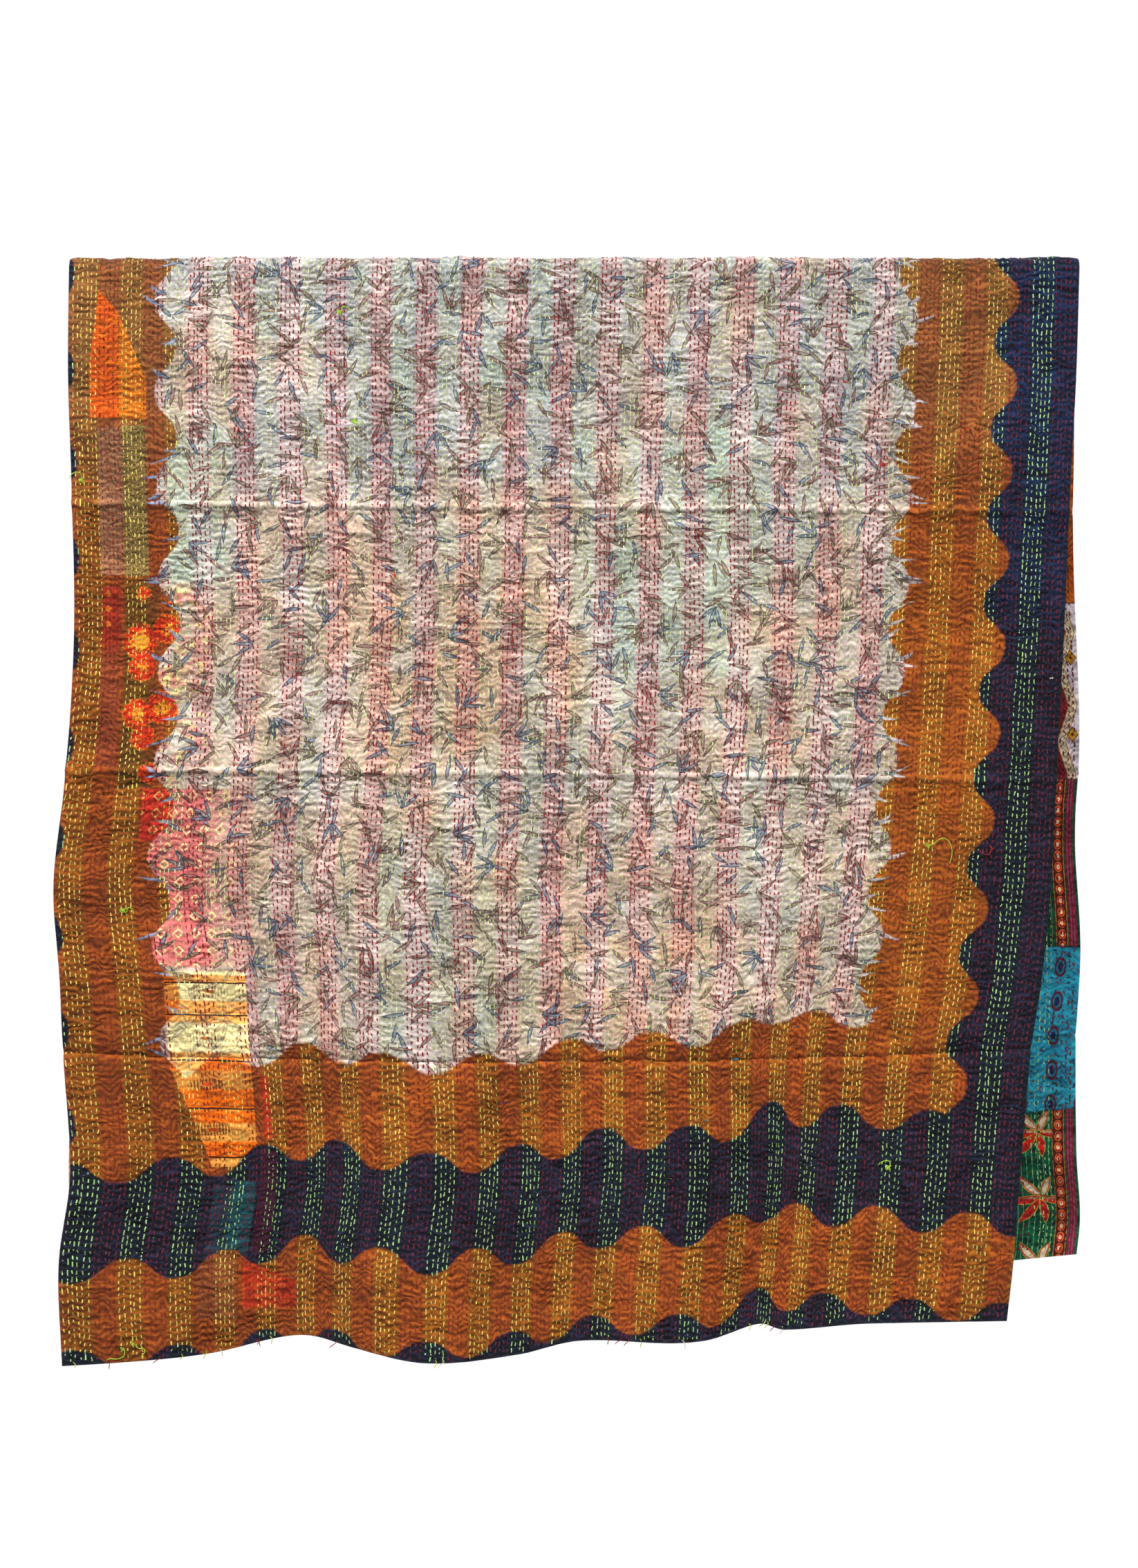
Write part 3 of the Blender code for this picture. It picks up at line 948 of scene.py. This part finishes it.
def selvedge(m, colour, inward, down):
    """A column of gold-edged drops between lines, beside maroon stripes with grey lines."""
    grey_lines = ramp(abs(spacing(inward - 0.0075, 0.0068) - 0.0016), 0.0006, 0.0003)
    maroon = m.lay(rgb(150, 20, 54), rgb(128, 96, 116), grey_lines)
    colour = m.lay(colour, maroon, between(inward, 0.0035, 0.0115, 0.0004))
    colour = m.lay(colour, rgb(106, 18, 26), between(inward, 0.0135, 0.0255, 0.0004))
    y = spacing(down, 0.0124)
    x = abs(inward - 0.0195)
    d = (x * x * 1.6 + y * y * 0.8).math("SQRT")
    colour = m.lay(colour, rgb(222, 160, 60), ramp(d, 0.0052, 0.0047))
    colour = m.lay(colour, rgb(232, 54, 24), ramp(d, 0.0046, 0.0042))
    colour = m.lay(colour, rgb(262, 224, 176), ramp(d, 0.0026, 0.0019))
    edges = ramp(abs(x - 0.0060), 0.0006, 0.0003)
    return m.lay(colour, rgb(196, 150, 60), edges * 0.8)


def green_stripes(m, inward, down):
    colour = uneven(m, rgb(14, 92, 62), rgb(8, 58, 44))
    gold = ramp(spacing(inward, 0.0060), 0.0005, 0.0002)
    colour = m.lay(colour, rgb(150, 150, 70), gold * ramp(inward, 0.026, 0.028) * 0.7)
    return selvedge(m, colour, inward, down)


# Heading and length of each petal of the green cloth's flowers
PETALS = ((0.15, 0.018), (0.85, 0.019), (1.75, 0.014), (-0.75, 0.017), (-1.9, 0.013), (3.0, 0.013))


def green_flowers(m, inward, down):
    colour = uneven(m, rgb(14, 100, 66), rgb(8, 62, 46))
    lines = ramp(spacing(inward, 0.0060), 0.0005, 0.0002) * ramp(inward, 0.026, 0.028)
    colour = m.lay(colour, rgb(120, 210, 150), lines * 0.7)
    x, y = inward - 0.0400, (down - 0.9990) / 0.0730
    y = (y - y.math("FLOOR") - 0.5) * 0.0730
    petals = []
    for heading, length in PETALS:
        c, s = math.cos(heading), math.sin(heading)
        along = (x * c + y * s - length) / length
        aside = y * c - x * s
        petals.append((along * along * -1.0 + 1.0) * 0.0048 - abs(aside + along * along * 0.002))
    inside = joined("MAXIMUM", petals)
    colour = m.lay(colour, rgb(222, 180, 70), ramp(inside, -0.0002, 0.0002))
    colour = m.lay(colour, rgb(216, 38, 28), ramp(inside, 0.0006, 0.0009))
    pale = ramp(inside, 0.0016, 0.0022) * ramp(y, 0.002, -0.002)
    colour = m.lay(colour, rgb(244, 220, 184), pale)
    return selvedge(m, colour, inward, down)


def turquoise_paisleys(m, inward, down):
    colour = uneven(m, rgb(48, 176, 204), rgb(36, 148, 184))
    for cell, turn, half in ((0.0120, 0.5, 0.0046), (0.0135, 2.0, 0.0042)):
        inside, tone = leaf_sprigs(inward, down, cell, turn, (0.0,), half, 0.15)
        mark = m.lay(rgb(26, 40, 84), rgb(110, 34, 60), ramp(tone, 0.5, 0.52))
        colour = m.lay(colour, mark, ramp(inside, 0.0010, 0.0014) * 0.85)
    x = spacing(inward - 0.0210 - down * 0.04, 0.0310) / 0.0062
    y = spacing(down - 0.7800, 0.0380) / 0.0110
    d = (x * x + y * y).math("SQRT")
    colour = m.lay(colour, rgb(34, 132, 160), ramp(d, 1.15, 1.08))
    colour = m.lay(colour, rgb(104, 30, 62), between(d, 0.72, 1.0, 0.05))
    return m.lay(colour, rgb(28, 44, 96), ramp(d, 0.50, 0.42))


Length = namedtuple("Length", "bottom slant draw")
LENGTHS = (
    Length(0.380, 0.00, orange_dashes),
    Length(0.572, 0.02, white_scrolls),
    Length(0.757, 0.02, green_stripes),
    Length(0.939, -0.10, turquoise_paisleys),
)


def reverse_material(name):
    """The quilt's reverse, pieced from lengths of cloth with a dark seam between each and the next."""
    m = Print(name)
    inward = m.across * -1.0 + CLOTH_WIDTH
    down = abs(m.along)
    colour = green_flowers(m, inward, down)
    for length in reversed(LENGTHS):
        level = down + (inward - 0.03) * length.slant
        above = ramp(level, length.bottom + 0.0006, length.bottom)
        colour = m.lay(colour, length.draw(m, inward, down), above)
        seam = ramp(abs(level - length.bottom), 0.0016, 0.0008)
        colour = m.lay(colour, rgb(20, 16, 18), seam * 0.6)
    left = ramp(m.across, 0.060, 0.058)
    colour = m.lay(colour, rgb(224, 158, 104), left * between(down, 0.980, 1.029))
    colour = m.lay(colour, rgb(24, 120, 132), left * between(down, 1.029, 1.058))
    return m.finish(colour)


def thread_material(name):
    m = Print(name, roughness=0.6)
    colour = m.colour_attribute("thread")
    twist = sine((m.across + m.along) * (TAU / 0.0009))
    # Painted shade in the grooves of the thread's twist.
    dark = m.lay(colour, rgb(40, 30, 20), ramp(twist, 0.0, -1.0) * 0.18)
    return m.finish(dark, twist * 0.2, distance=0.0002)


def blend(base, colour, share):
    return base * (1 - share[..., None]) + np.array(colour) * share[..., None]


def soft_tints(across_m, along_m):
    """The field's own soft clouds of colour, from the cloths beneath it."""
    colour = np.empty(across_m.shape + (4,))
    colour[:] = FIELD
    for patch in SOFT_PATCHES:
        inside = patch.strength
        sides = (across_m - patch.left, patch.right - across_m, along_m - patch.top, patch.bottom - along_m)
        for to_side in sides:
            inside = inside * smoothstep(to_side / patch.blur + 0.5)
        colour = blend(colour, patch.colour, inside)
    for cloud in CLOUDS:
        shape = noise(across_m / cloud.width, along_m / cloud.height + 50, cloud.seed)
        colour = blend(colour, cloud.colour, smoothstep((shape - 0.1) / 0.5) * cloud.strength)
    groups = group_at(across_m, along_m)
    among_red = smoothstep((np.abs(groups - np.round(groups)) - 0.22) / 0.12)
    tone = noise(np.floor(groups) * 7.3, along_m / 0.16 + 30, 36)
    for sign, column in ((1, WHITE), (-1, COLUMN_ROSE)):
        colour = blend(colour, column, smoothstep(sign * tone / 0.6) * among_red * 0.5)
    return colour


SoftPatch = namedtuple("SoftPatch", "left right top bottom blur strength colour")
Cloud = namedtuple("Cloud", "width height seed strength colour")
PEACH = rgb(230, 168, 120)
PINK = rgb(228, 168, 148)
MINT = rgb(176, 204, 190)
OLIVE = rgb(182, 174, 140)
LILAC = rgb(152, 167, 184)
COLUMN_ROSE = rgb(188, 138, 138)
WHITE = rgb(232, 230, 226)
SOFT_PATCHES = (
    SoftPatch(0.10, 0.92, 0.27, 0.92, 0.06, 0.54, rgb(255, 198, 160)),
    SoftPatch(0.10, 0.92, -0.10, 0.27, 0.04, 0.65, LILAC),
    SoftPatch(0.10, 0.92, -1.20, -0.40, 0.04, 0.45, OLIVE),
    SoftPatch(0.12, 0.20, 0.04, 0.20, 0.03, 0.60, PEACH),
    SoftPatch(0.10, 0.16, 0.17, 0.36, 0.02, 0.70, MINT),
    SoftPatch(0.245, 0.30, -0.01, 0.17, 0.01, 0.60, WHITE),
    SoftPatch(0.32, 0.60, -0.01, 0.15, 0.04, 0.35, MINT),
    SoftPatch(0.33, 0.57, 0.25, 0.29, 0.02, 0.50, PEACH),
    SoftPatch(0.70, 0.74, 0.18, 0.27, 0.01, 0.80, MINT),
    SoftPatch(0.69, 0.78, 0.27, 0.30, 0.01, 0.60, PEACH),
    SoftPatch(0.57, 0.76, 0.20, 0.47, 0.04, 0.80, MINT),
    SoftPatch(0.18, 0.34, 0.27, 0.47, 0.04, 0.40, PINK),
    SoftPatch(0.34, 0.57, 0.36, 0.56, 0.03, 0.75, PEACH),
    SoftPatch(0.77, 0.90, 0.28, 0.56, 0.04, 0.55, PINK),
    SoftPatch(0.12, 0.92, 0.57, 0.60, 0.02, 0.60, WHITE),
    SoftPatch(0.34, 0.52, 0.62, 0.86, 0.03, 0.65, OLIVE),
    SoftPatch(0.54, 0.90, 0.60, 0.78, 0.04, 0.60, PINK),
    SoftPatch(0.54, 0.72, 0.74, 0.86, 0.03, 0.70, PEACH),
    SoftPatch(0.18, 0.34, 0.60, 0.86, 0.04, 0.50, PINK),
)
# Smaller clouds of colour all over the field
CLOUDS = (
    Cloud(0.050, 0.070, 31, 0.45, MINT),
    Cloud(0.040, 0.060, 32, 0.45, PEACH),
    Cloud(0.035, 0.080, 33, 0.35, LILAC),
    Cloud(0.024, 0.034, 34, 0.50, WHITE),
    Cloud(0.020, 0.028, 35, 0.30, rgb(170, 116, 84)),
)


def spread(length, step, from_rim):
    """Even stations along a length, closer at its end, and at its start too where a rim is there."""
    edge = np.array([0.0, 0.25, 0.6, 1.0]) * FACE_OFFSET
    low = edge if from_rim else np.array([0.0])
    high = length - edge[::-1]
    count = max(2, round((high[0] - low[-1]) / step))
    middle = np.linspace(low[-1], high[0], count + 1)[1:-1]
    return np.concatenate([low, middle, high])


# Steps of the cloths' meshes, across and along
FINE = (0.0068, 0.0020)
MEDIUM = (0.0080, 0.0022)
COARSE = (0.0100, 0.0045)


def grid_mesh(name, points, shares):
    """A mesh of quads over a grid of points, with a bake map that fills its square."""
    rows, columns = points.shape[:2]
    index = np.arange(rows * columns).reshape(rows, columns)
    quads = np.stack([index[:-1, :-1], index[1:, :-1], index[1:, 1:], index[:-1, 1:]], axis=-1)
    quads = quads.reshape(-1, 4)
    mesh = bpy.data.meshes.new(name)
    fill_mesh(mesh, points.reshape(-1, 3), quads)
    uv = mesh.uv_layers.new(name="OFBake")
    uv.data.foreach_set("uv", shares.reshape(-1, 2)[quads.ravel()].astype(np.float32).ravel())
    return mesh


def fill_mesh(mesh, points, faces):
    """Writes points and faces of one size into an empty mesh."""
    sides = faces.shape[1]
    mesh.vertices.add(len(points))
    mesh.vertices.foreach_set("co", points.astype(np.float32).ravel())
    mesh.loops.add(faces.size)
    mesh.loops.foreach_set("vertex_index", faces.astype(np.int32).ravel())
    mesh.polygons.add(len(faces))
    mesh.polygons.foreach_set("loop_start", np.arange(0, faces.size, sides, dtype=np.int32))
    mesh.polygons.foreach_set("use_smooth", np.ones(len(faces), dtype=bool))
    mesh.update(calc_edges=True)
    mesh.validate()


def write_vectors(mesh, name, values, kind="FLOAT_VECTOR", field="vector"):
    layer = mesh.attributes.new(name, kind, "POINT")
    layer.data.foreach_set(field, values.astype(np.float32).ravel())


def write_colours(mesh, name, values):
    write_vectors(mesh, name, values, "FLOAT_COLOR", "color")


def cloth_attributes(mesh, fall, across, run):
    """What the print's materials read: places on the cloth, and where among the rows of stitches."""
    across_m, along_m = across * CLOTH_WIDTH, -fall.side * run
    lift = lift_over_hem(fall, across, run)
    write_vectors(mesh, "cloth", np.stack([across_m, along_m, lift], axis=-1))
    groups = group_at(across_m, along_m)
    band = np.abs(groups - np.round(groups))
    # The pucker's height, from which the materials paint highlights on crests and shade in troughs.
    crest = pucker(across_m, along_m) / RIPPLE_HEIGHT
    # Painted highlight and painted shadow lines along each storage crease, added to the crest height.
    for crease in fall.creases:
        off = run - QUARTER_TURN + FOLD_RADIUS - crease_drop(crease, across)
        for sign, middle, width in CREASE_LIGHT_LINES:
            line = np.exp(-(((off - middle) / width) ** 2))
            crest = crest + sign * math.copysign(CREASE_PAINTED_LIGHT, crease.stand) * line
    write_vectors(mesh, "rows", np.stack([band, crest, np.zeros_like(crest)], axis=-1))
    write_colours(mesh, "tint", soft_tints(across_m, along_m))


def add_piece(name, mesh, materials, node):
    piece = bpy.data.objects.new(name, mesh)
    bpy.context.scene.collection.objects.link(piece)
    for material in materials:
        mesh.materials.append(material)
    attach(piece, "root")
    if node:
        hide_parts(node)
    return piece


def cloth_grid(fall, layer, across_step, along_step):
    """Points of one fall of a cloth from crown to hem, with shares across, runs and shares down."""
    across = spread(CLOTH_WIDTH, across_step, True) / CLOTH_WIDTH
    mean_length = float(np.mean(cloth_length(fall, across)))
    down = spread(mean_length, along_step, False) / mean_length
    across, down = np.meshgrid(across, down)
    run = down * cloth_length(fall, across)
    points = surface(fall, across, run, layer)
    if fall.side * layer > 0:
        return points[:, ::-1], across[:, ::-1], run[:, ::-1], down[:, ::-1]
    return points, across, run, down


def build_cloth(name, fall, layer, steps, materials, node):
    points, across, run, down = cloth_grid(fall, layer, *steps)
    mesh = grid_mesh(name, points, np.stack([across, 1 - down], axis=-1))
    cloth_attributes(mesh, fall, across, run)
    plain = across[:-1, :-1] * CLOTH_WIDTH > PATCHED_TO
    mesh.polygons.foreach_set("material_index", (plain.ravel() * (len(materials) - 1)).astype(np.int32))
    piece = add_piece(name, mesh, materials, node)
    return piece


def zone_colour(thread, fall, across, run):
    """The thread's colour at each place: it looks different over the field, the brown and the navy."""
    a, b = across * CLOTH_WIDTH, -fall.side * run
    lift = lift_over_hem(fall, across, run)
    colour = np.tile(thread.pale, (len(a), 1))
    for sides, lower, own in PRINT_ORDER:
        inside = past(lower, lift, a) > 0
        for border in sides:
            inside = inside | (past(border, a, b) > 0)
        colour = np.where(inside[:, None], getattr(thread, own), colour)
    return colour


def stitch_places(fall, seed):
    """Places, tilts, half lengths and thread (yellow or not) of the stitches on one side of a fall."""
    random = np.random.default_rng(seed)
    acrosses, runs, tilts, halves, yellows = [], [], [], [], []
    shortest = float(cloth_length(fall, np.linspace(0, 1, 50)).min())
    for group in range(-1, STITCH_GROUPS):
        for row in range(ROWS_IN_GROUP):
            base = FIRST_GROUP + group * GROUP_PITCH + (row - (YELLOW_ROWS - 1) / 2) * ROW_PITCH
            if not SIDE_MARGIN < base < CLOTH_WIDTH - SIDE_MARGIN:
                continue
            stretch = EDGE_STRETCH if base < EDGE_ROWS else 1.0
            count = int((shortest + 0.06) / STITCH_PITCH / stretch)
            run = (np.arange(count) + random.uniform(0.2, 0.8)) * STITCH_PITCH * stretch
            run = run + random.normal(0, PLACE_SPREAD, count)
            side = base + 0.0010 * noise(np.full(count, group * 9.0 + row), run / 0.045, 9)
            side = side + group_drift(np.full(count, base), -fall.side * run)
            acrosses.append(side)
            runs.append(run)
            tilts.append(random.normal(0, TILT_SPREAD, count))
            halves.append(STITCH_LENGTH / 2 * stretch * random.uniform(*LENGTH_SPREAD, count))
            yellows.append(np.full(count, row < YELLOW_ROWS or base < EDGE_ROWS))
    across, run, tilt, half, yellow = map(np.concatenate, (acrosses, runs, tilts, halves, yellows))
    across = across / CLOTH_WIDTH
    length = cloth_length(fall, np.clip(across, 0, 1))
    on_fall = (run - half > 0.001) & (run + half < length - HEM_MARGIN)
    kept = on_fall & (across > 0.002) & (across < 0.998)
    return across[kept], run[kept], tilt[kept], half[kept], yellow[kept]


Station = namedtuple("Station", "at stand")
ROUND_STITCH = (Station(-1, 0.35), Station(0, 1.0), Station(1, 0.35))
PLAIN_STITCH = (Station(-1, 0.6), Station(1, 0.6))


def build_stitches(name, fall, layer, thread, material, stations, bare=None):
    """Every stitch is a short low roof of thread along the cloth. None lies in the bare range."""
    across, run, tilt, half, yellow = stitch_places(fall, STITCH_SEED - layer)
    chosen = yellow == thread.yellow
    if bare:
        chosen = chosen & ((across < bare[0]) | (across > bare[1]))
    across, run, tilt, half = across[chosen], run[chosen], tilt[chosen], half[chosen]
    colour = zone_colour(thread, fall, across, run)
    if layer < 0:
        colour[:] = thread.navy
    shade = np.random.default_rng(STITCH_SEED).uniform(0.80, 1.12, len(colour))
    colour[:, :3] *= shade[:, None]
    side = thread.width / 2 / CLOTH_WIDTH
    points = []
    for end, stand in stations:
        at_run = run + end * half
        at = across + end * tilt / CLOTH_WIDTH
        for off, height in ((-side, 0.0), (0.0, STITCH_STAND * stand), (side, 0.0)):
            points.append(surface(fall, at + off, at_run, layer, height + STITCH_FLOAT))
    points = np.stack(points, axis=1).reshape(-1, 3)
    pair = np.array([[0, 3, 4, 1], [1, 4, 5, 2]])
    quads = np.concatenate([pair + 3 * i for i in range(len(stations) - 1)])
    each = 3 * len(stations)
    if fall.side * layer > 0:
        quads = quads[:, ::-1]
    faces = (np.arange(len(across))[:, None, None] * each + quads[None]).reshape(-1, 4)
    mesh = bpy.data.meshes.new(name)
    fill_mesh(mesh, points, faces)
    write_colours(mesh, "thread", np.repeat(colour, each, axis=0))
    places = np.stack([across * CLOTH_WIDTH, run, run], axis=-1)
    write_vectors(mesh, "cloth", np.repeat(places, each, axis=0))
    return add_piece(name, mesh, [material], None)


# Loose ends of thread on the face: place by world x and drop, length, heading, colour and loops
LooseEnd = namedtuple("LooseEnd", "x drop length heading yellow knots")
LOOSE_ENDS = (
    LooseEnd(-0.535, 0.243, 0.014, 2.2, True, 3),
    LooseEnd(-0.496, 0.708, 0.011, 0.3, True, 4),
    LooseEnd(-0.490, 1.173, 0.016, -1.2, True, 1),
    LooseEnd(0.385, 0.638, 0.032, 0.1, True, 2),
    LooseEnd(0.349, 0.984, 0.012, 1.9, True, 3),
    LooseEnd(0.334, 0.225, 0.010, 0.4, False, 2),
    LooseEnd(-0.255, 0.060, 0.012, 1.2, True, 3),
    LooseEnd(-0.240, 0.178, 0.010, -0.9, True, 3),
    LooseEnd(0.452, 0.640, 0.013, -2.0, False, 1),
    LooseEnd(-0.500, 1.178, 0.020, -1.5, True, 1),
)
TAIL_RADIUS = 0.00045
TAIL_SIDES = 6
TAIL_POINTS = 22
LOOP_SIZE = 0.0026
HEM_TAILS = 34
HEM_TAIL_POINTS = 8
YELLOW_END = rgb(190, 236, 70)
RED_END = rgb(196, 30, 44)
HEM_TAIL_COLOURS = (rgb(226, 214, 186), rgb(206, 216, 96), rgb(150, 30, 40))


def share_across(fall, x, drop):
    left, right = (along_table(fall.edges, "drop", side, drop) for side in ("left", "right"))
    return (x - left) / (right - left)


def tube(path, radius):
    """Points and quads of a round thread along a path."""
    ahead = np.gradient(path, axis=0)
    ahead /= np.linalg.norm(ahead, axis=1, keepdims=True) + 1e-12
    side = np.cross(ahead, np.array([0.12, 0.97, 0.21]))
    side /= np.linalg.norm(side, axis=1, keepdims=True) + 1e-12
    rise = np.cross(side, ahead)
    turn = np.linspace(0, TAU, TAIL_SIDES, endpoint=False)
    thin = radius * np.where(np.arange(len(path)) == len(path) - 1, 0.3, 1.0)[:, None, None]
    ring = side[:, None] * np.cos(turn)[None, :, None] + rise[:, None] * np.sin(turn)[None, :, None]
    points = (path[:, None] + ring * thin).reshape(-1, 3)
    index = np.arange(len(path) * TAIL_SIDES).reshape(len(path), TAIL_SIDES)
    beside = np.roll(index, -1, axis=1)
    quads = np.stack([index[:-1], index[1:], beside[1:], beside[:-1]], axis=-1).reshape(-1, 4)
    return points, quads


def loose_path(end, random):
    """A tangle of small loops where the end leaves the cloth, then its free tail, all lying on the face."""
    start = share_across(FRONT, end.x, end.drop) * CLOTH_WIDTH
    t = np.linspace(0, 1, TAIL_POINTS * (1 + end.knots))
    loops = np.clip(t * (1 + end.knots), 0, end.knots) / max(end.knots, 1)
    tail = np.clip(t * (1 + end.knots) - end.knots, 0, 1)
    spin = loops * end.knots * TAU
    size = LOOP_SIZE * (0.6 + 0.4 * np.sin(loops * 9.0 + random.uniform(0, TAU)))
    bend = end.heading + 1.1 * np.sin(tail * 3.2 + random.uniform(0, TAU)) * tail
    across = start + size * np.cos(spin) * (1 - tail) + end.length * tail * np.cos(bend)
    run = end.drop - FOLD_RADIUS + QUARTER_TURN
    run = run + size * np.sin(spin * 1.31) * (1 - tail) - end.length * tail * np.sin(bend)
    lift = 0.0012 + 0.0011 * np.abs(np.sin(spin * 0.5)) + 0.0006 * np.sin(tail * math.pi)
    return surface(FRONT, across / CLOTH_WIDTH, run, 1) + lift[:, None] * np.array([0.0, -1.0, 0.0])


def hem_path(fall, across, random):
    """A cut end of thread that hangs a little out of the hem."""
    hang = random.uniform(0.001, 0.006)
    t = np.linspace(0, 1, HEM_TAIL_POINTS)[:, None]
    length = cloth_length(fall, np.array([across]))
    start = surface(fall, np.array([across]), length - 0.004, 1, 0.0004)
    reach = np.array([random.normal(0, 0.004), 0.0, -0.004 - hang])
    return start + reach * t + np.array([0.0012, 0.0, 0.0]) * np.sin(t * 5.0)


def build_loose_threads(material):
    random = np.random.default_rng(21)
    paths, colours = [], []
    for end in LOOSE_ENDS:
        paths.append(loose_path(end, random))
        colours.append(YELLOW_END if end.yellow else RED_END)
    for i in range(HEM_TAILS):
        fall = FRONT if i % 3 else BACK
        paths.append(hem_path(fall, random.uniform(0.01, 0.99), random))
        colours.append(HEM_TAIL_COLOURS[i % 3 if i % 5 else 0])
    points, faces, tints, count = [], [], [], 0
    for path, colour in zip(paths, colours):
        tube_points, quads = tube(path, TAIL_RADIUS)
        points.append(tube_points)
        faces.append(quads + count)
        tints.append(np.tile(colour, (len(tube_points), 1)))
        count += len(tube_points)
    points = np.concatenate(points)
    mesh = bpy.data.meshes.new("loose_threads")
    fill_mesh(mesh, points, np.concatenate(faces))
    write_colours(mesh, "thread", np.concatenate(tints))
    write_vectors(mesh, "cloth", points)
    return add_piece("loose_threads", mesh, [material], None)


# Photograph, floor and lights. The quilt's middle and top edge lie at pixels of the photograph.
MM_PER_PIXEL = 0.75
PHOTO_SIZE = (1646, 2268)
PHOTO_CENTRE_OF_QUILT = 831.5
PHOTO_TOP_EDGE = 374
CAMERA_DISTANCE = 2.8
FLOOR_HEIGHT = -1.75


def add_camera():
    data = bpy.data.cameras.new("camera")
    camera = bpy.data.objects.new("camera", data)
    bpy.context.scene.collection.objects.link(camera)
    scale = MM_PER_PIXEL / 1000
    x = (PHOTO_SIZE[0] / 2 - PHOTO_CENTRE_OF_QUILT) * scale
    z = (PHOTO_TOP_EDGE - PHOTO_SIZE[1] / 2) * scale
    camera.location = (x, -CAMERA_DISTANCE, z)
    camera.rotation_euler = (math.pi / 2, 0, 0)
    to_quilt = CAMERA_DISTANCE - FOLD_RADIUS - FACE_OFFSET
    data.lens = to_quilt * data.sensor_width / (PHOTO_SIZE[1] * scale)
    bpy.context.scene.camera = camera


def add_area_light(name, location, target, size, power):
    data = bpy.data.lights.new(name, "AREA")
    data.size = size
    data.energy = power
    light = bpy.data.objects.new(name, data)
    bpy.context.scene.collection.objects.link(light)
    light.location = location
    aim = [t - p for t, p in zip(target, location)]
    yaw = math.atan2(aim[1], aim[0]) - math.pi / 2
    pitch = math.atan2(aim[2], math.hypot(aim[0], aim[1])) + math.pi / 2
    light.rotation_euler = (pitch, 0, yaw)


def add_studio():
    """A pale floor below the quilt, a white room that the camera sees, and soft lights."""
    bpy.ops.mesh.primitive_cylinder_add(vertices=96, radius=1.0, depth=0.02, location=(0, 0, FLOOR_HEIGHT))
    floor = bpy.context.object
    floor.name = "floor"
    material = bpy.data.materials.new("floor")
    material.use_nodes = True
    material.node_tree.nodes["Principled BSDF"].inputs["Base Color"].default_value = (0.85, 0.85, 0.84, 1)
    material.node_tree.nodes["Principled BSDF"].inputs["Roughness"].default_value = 0.9
    floor.data.materials.append(material)

    world = bpy.data.worlds.new("studio")
    bpy.context.scene.world = world
    world.use_nodes = True
    tree = world.node_tree
    path = tree.nodes.new("ShaderNodeLightPath")
    strength = tree.nodes.new("ShaderNodeMapRange")
    strength.inputs["To Min"].default_value = 0.425
    strength.inputs["To Max"].default_value = 1.0
    tree.links.new(path.outputs["Is Camera Ray"], strength.inputs["Value"])
    tree.links.new(strength.outputs["Result"], tree.nodes["Background"].inputs["Strength"])
    tree.nodes["Background"].inputs["Color"].default_value = (1, 1, 1, 1)

    middle = (0, 0, -0.6)
    add_area_light("key", (-1.9, -2.3, 2.6), middle, 0.9, 206)
    add_area_light("fill", (1.2, -2.6, -1.2), middle, 1.6, 25)
    add_area_light("rear", (0.9, 2.0, 1.2), middle, 1.2, 69)
    bpy.context.scene.view_settings.view_transform = "Standard"


def main():
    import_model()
    add_camera()
    add_studio()

    face = face_material("printed_sari", UNDER_PATCHES)
    plain_face = face_material("printed_sari_plain", ())
    reverse = reverse_material("pieced_backing")
    thread = thread_material("running_thread")
    build_cloth("face_front", FRONT, 1, FINE, [face, plain_face], "face_cloth")
    build_cloth("face_back", BACK, 1, MEDIUM, [plain_face], "face_cloth")
    build_cloth("reverse_front", FRONT, -1, COARSE, [reverse], "backing_cloth")
    build_cloth("reverse_back", BACK, -1, COARSE, [reverse], "backing_cloth")
    for colour, yarn in {"yellow": YELLOW_THREAD, "red": RED_THREAD}.items():
        build_stitches(f"{colour}_stitches_front", FRONT, 1, yarn, thread, ROUND_STITCH)
        build_stitches(f"{colour}_stitches_back", BACK, 1, yarn, thread, PLAIN_STITCH)
        build_stitches(
            f"{colour}_stitches_inside", BACK, -1, yarn, thread, PLAIN_STITCH, INSIDE_BARE
        )
    build_loose_threads(thread)


main()
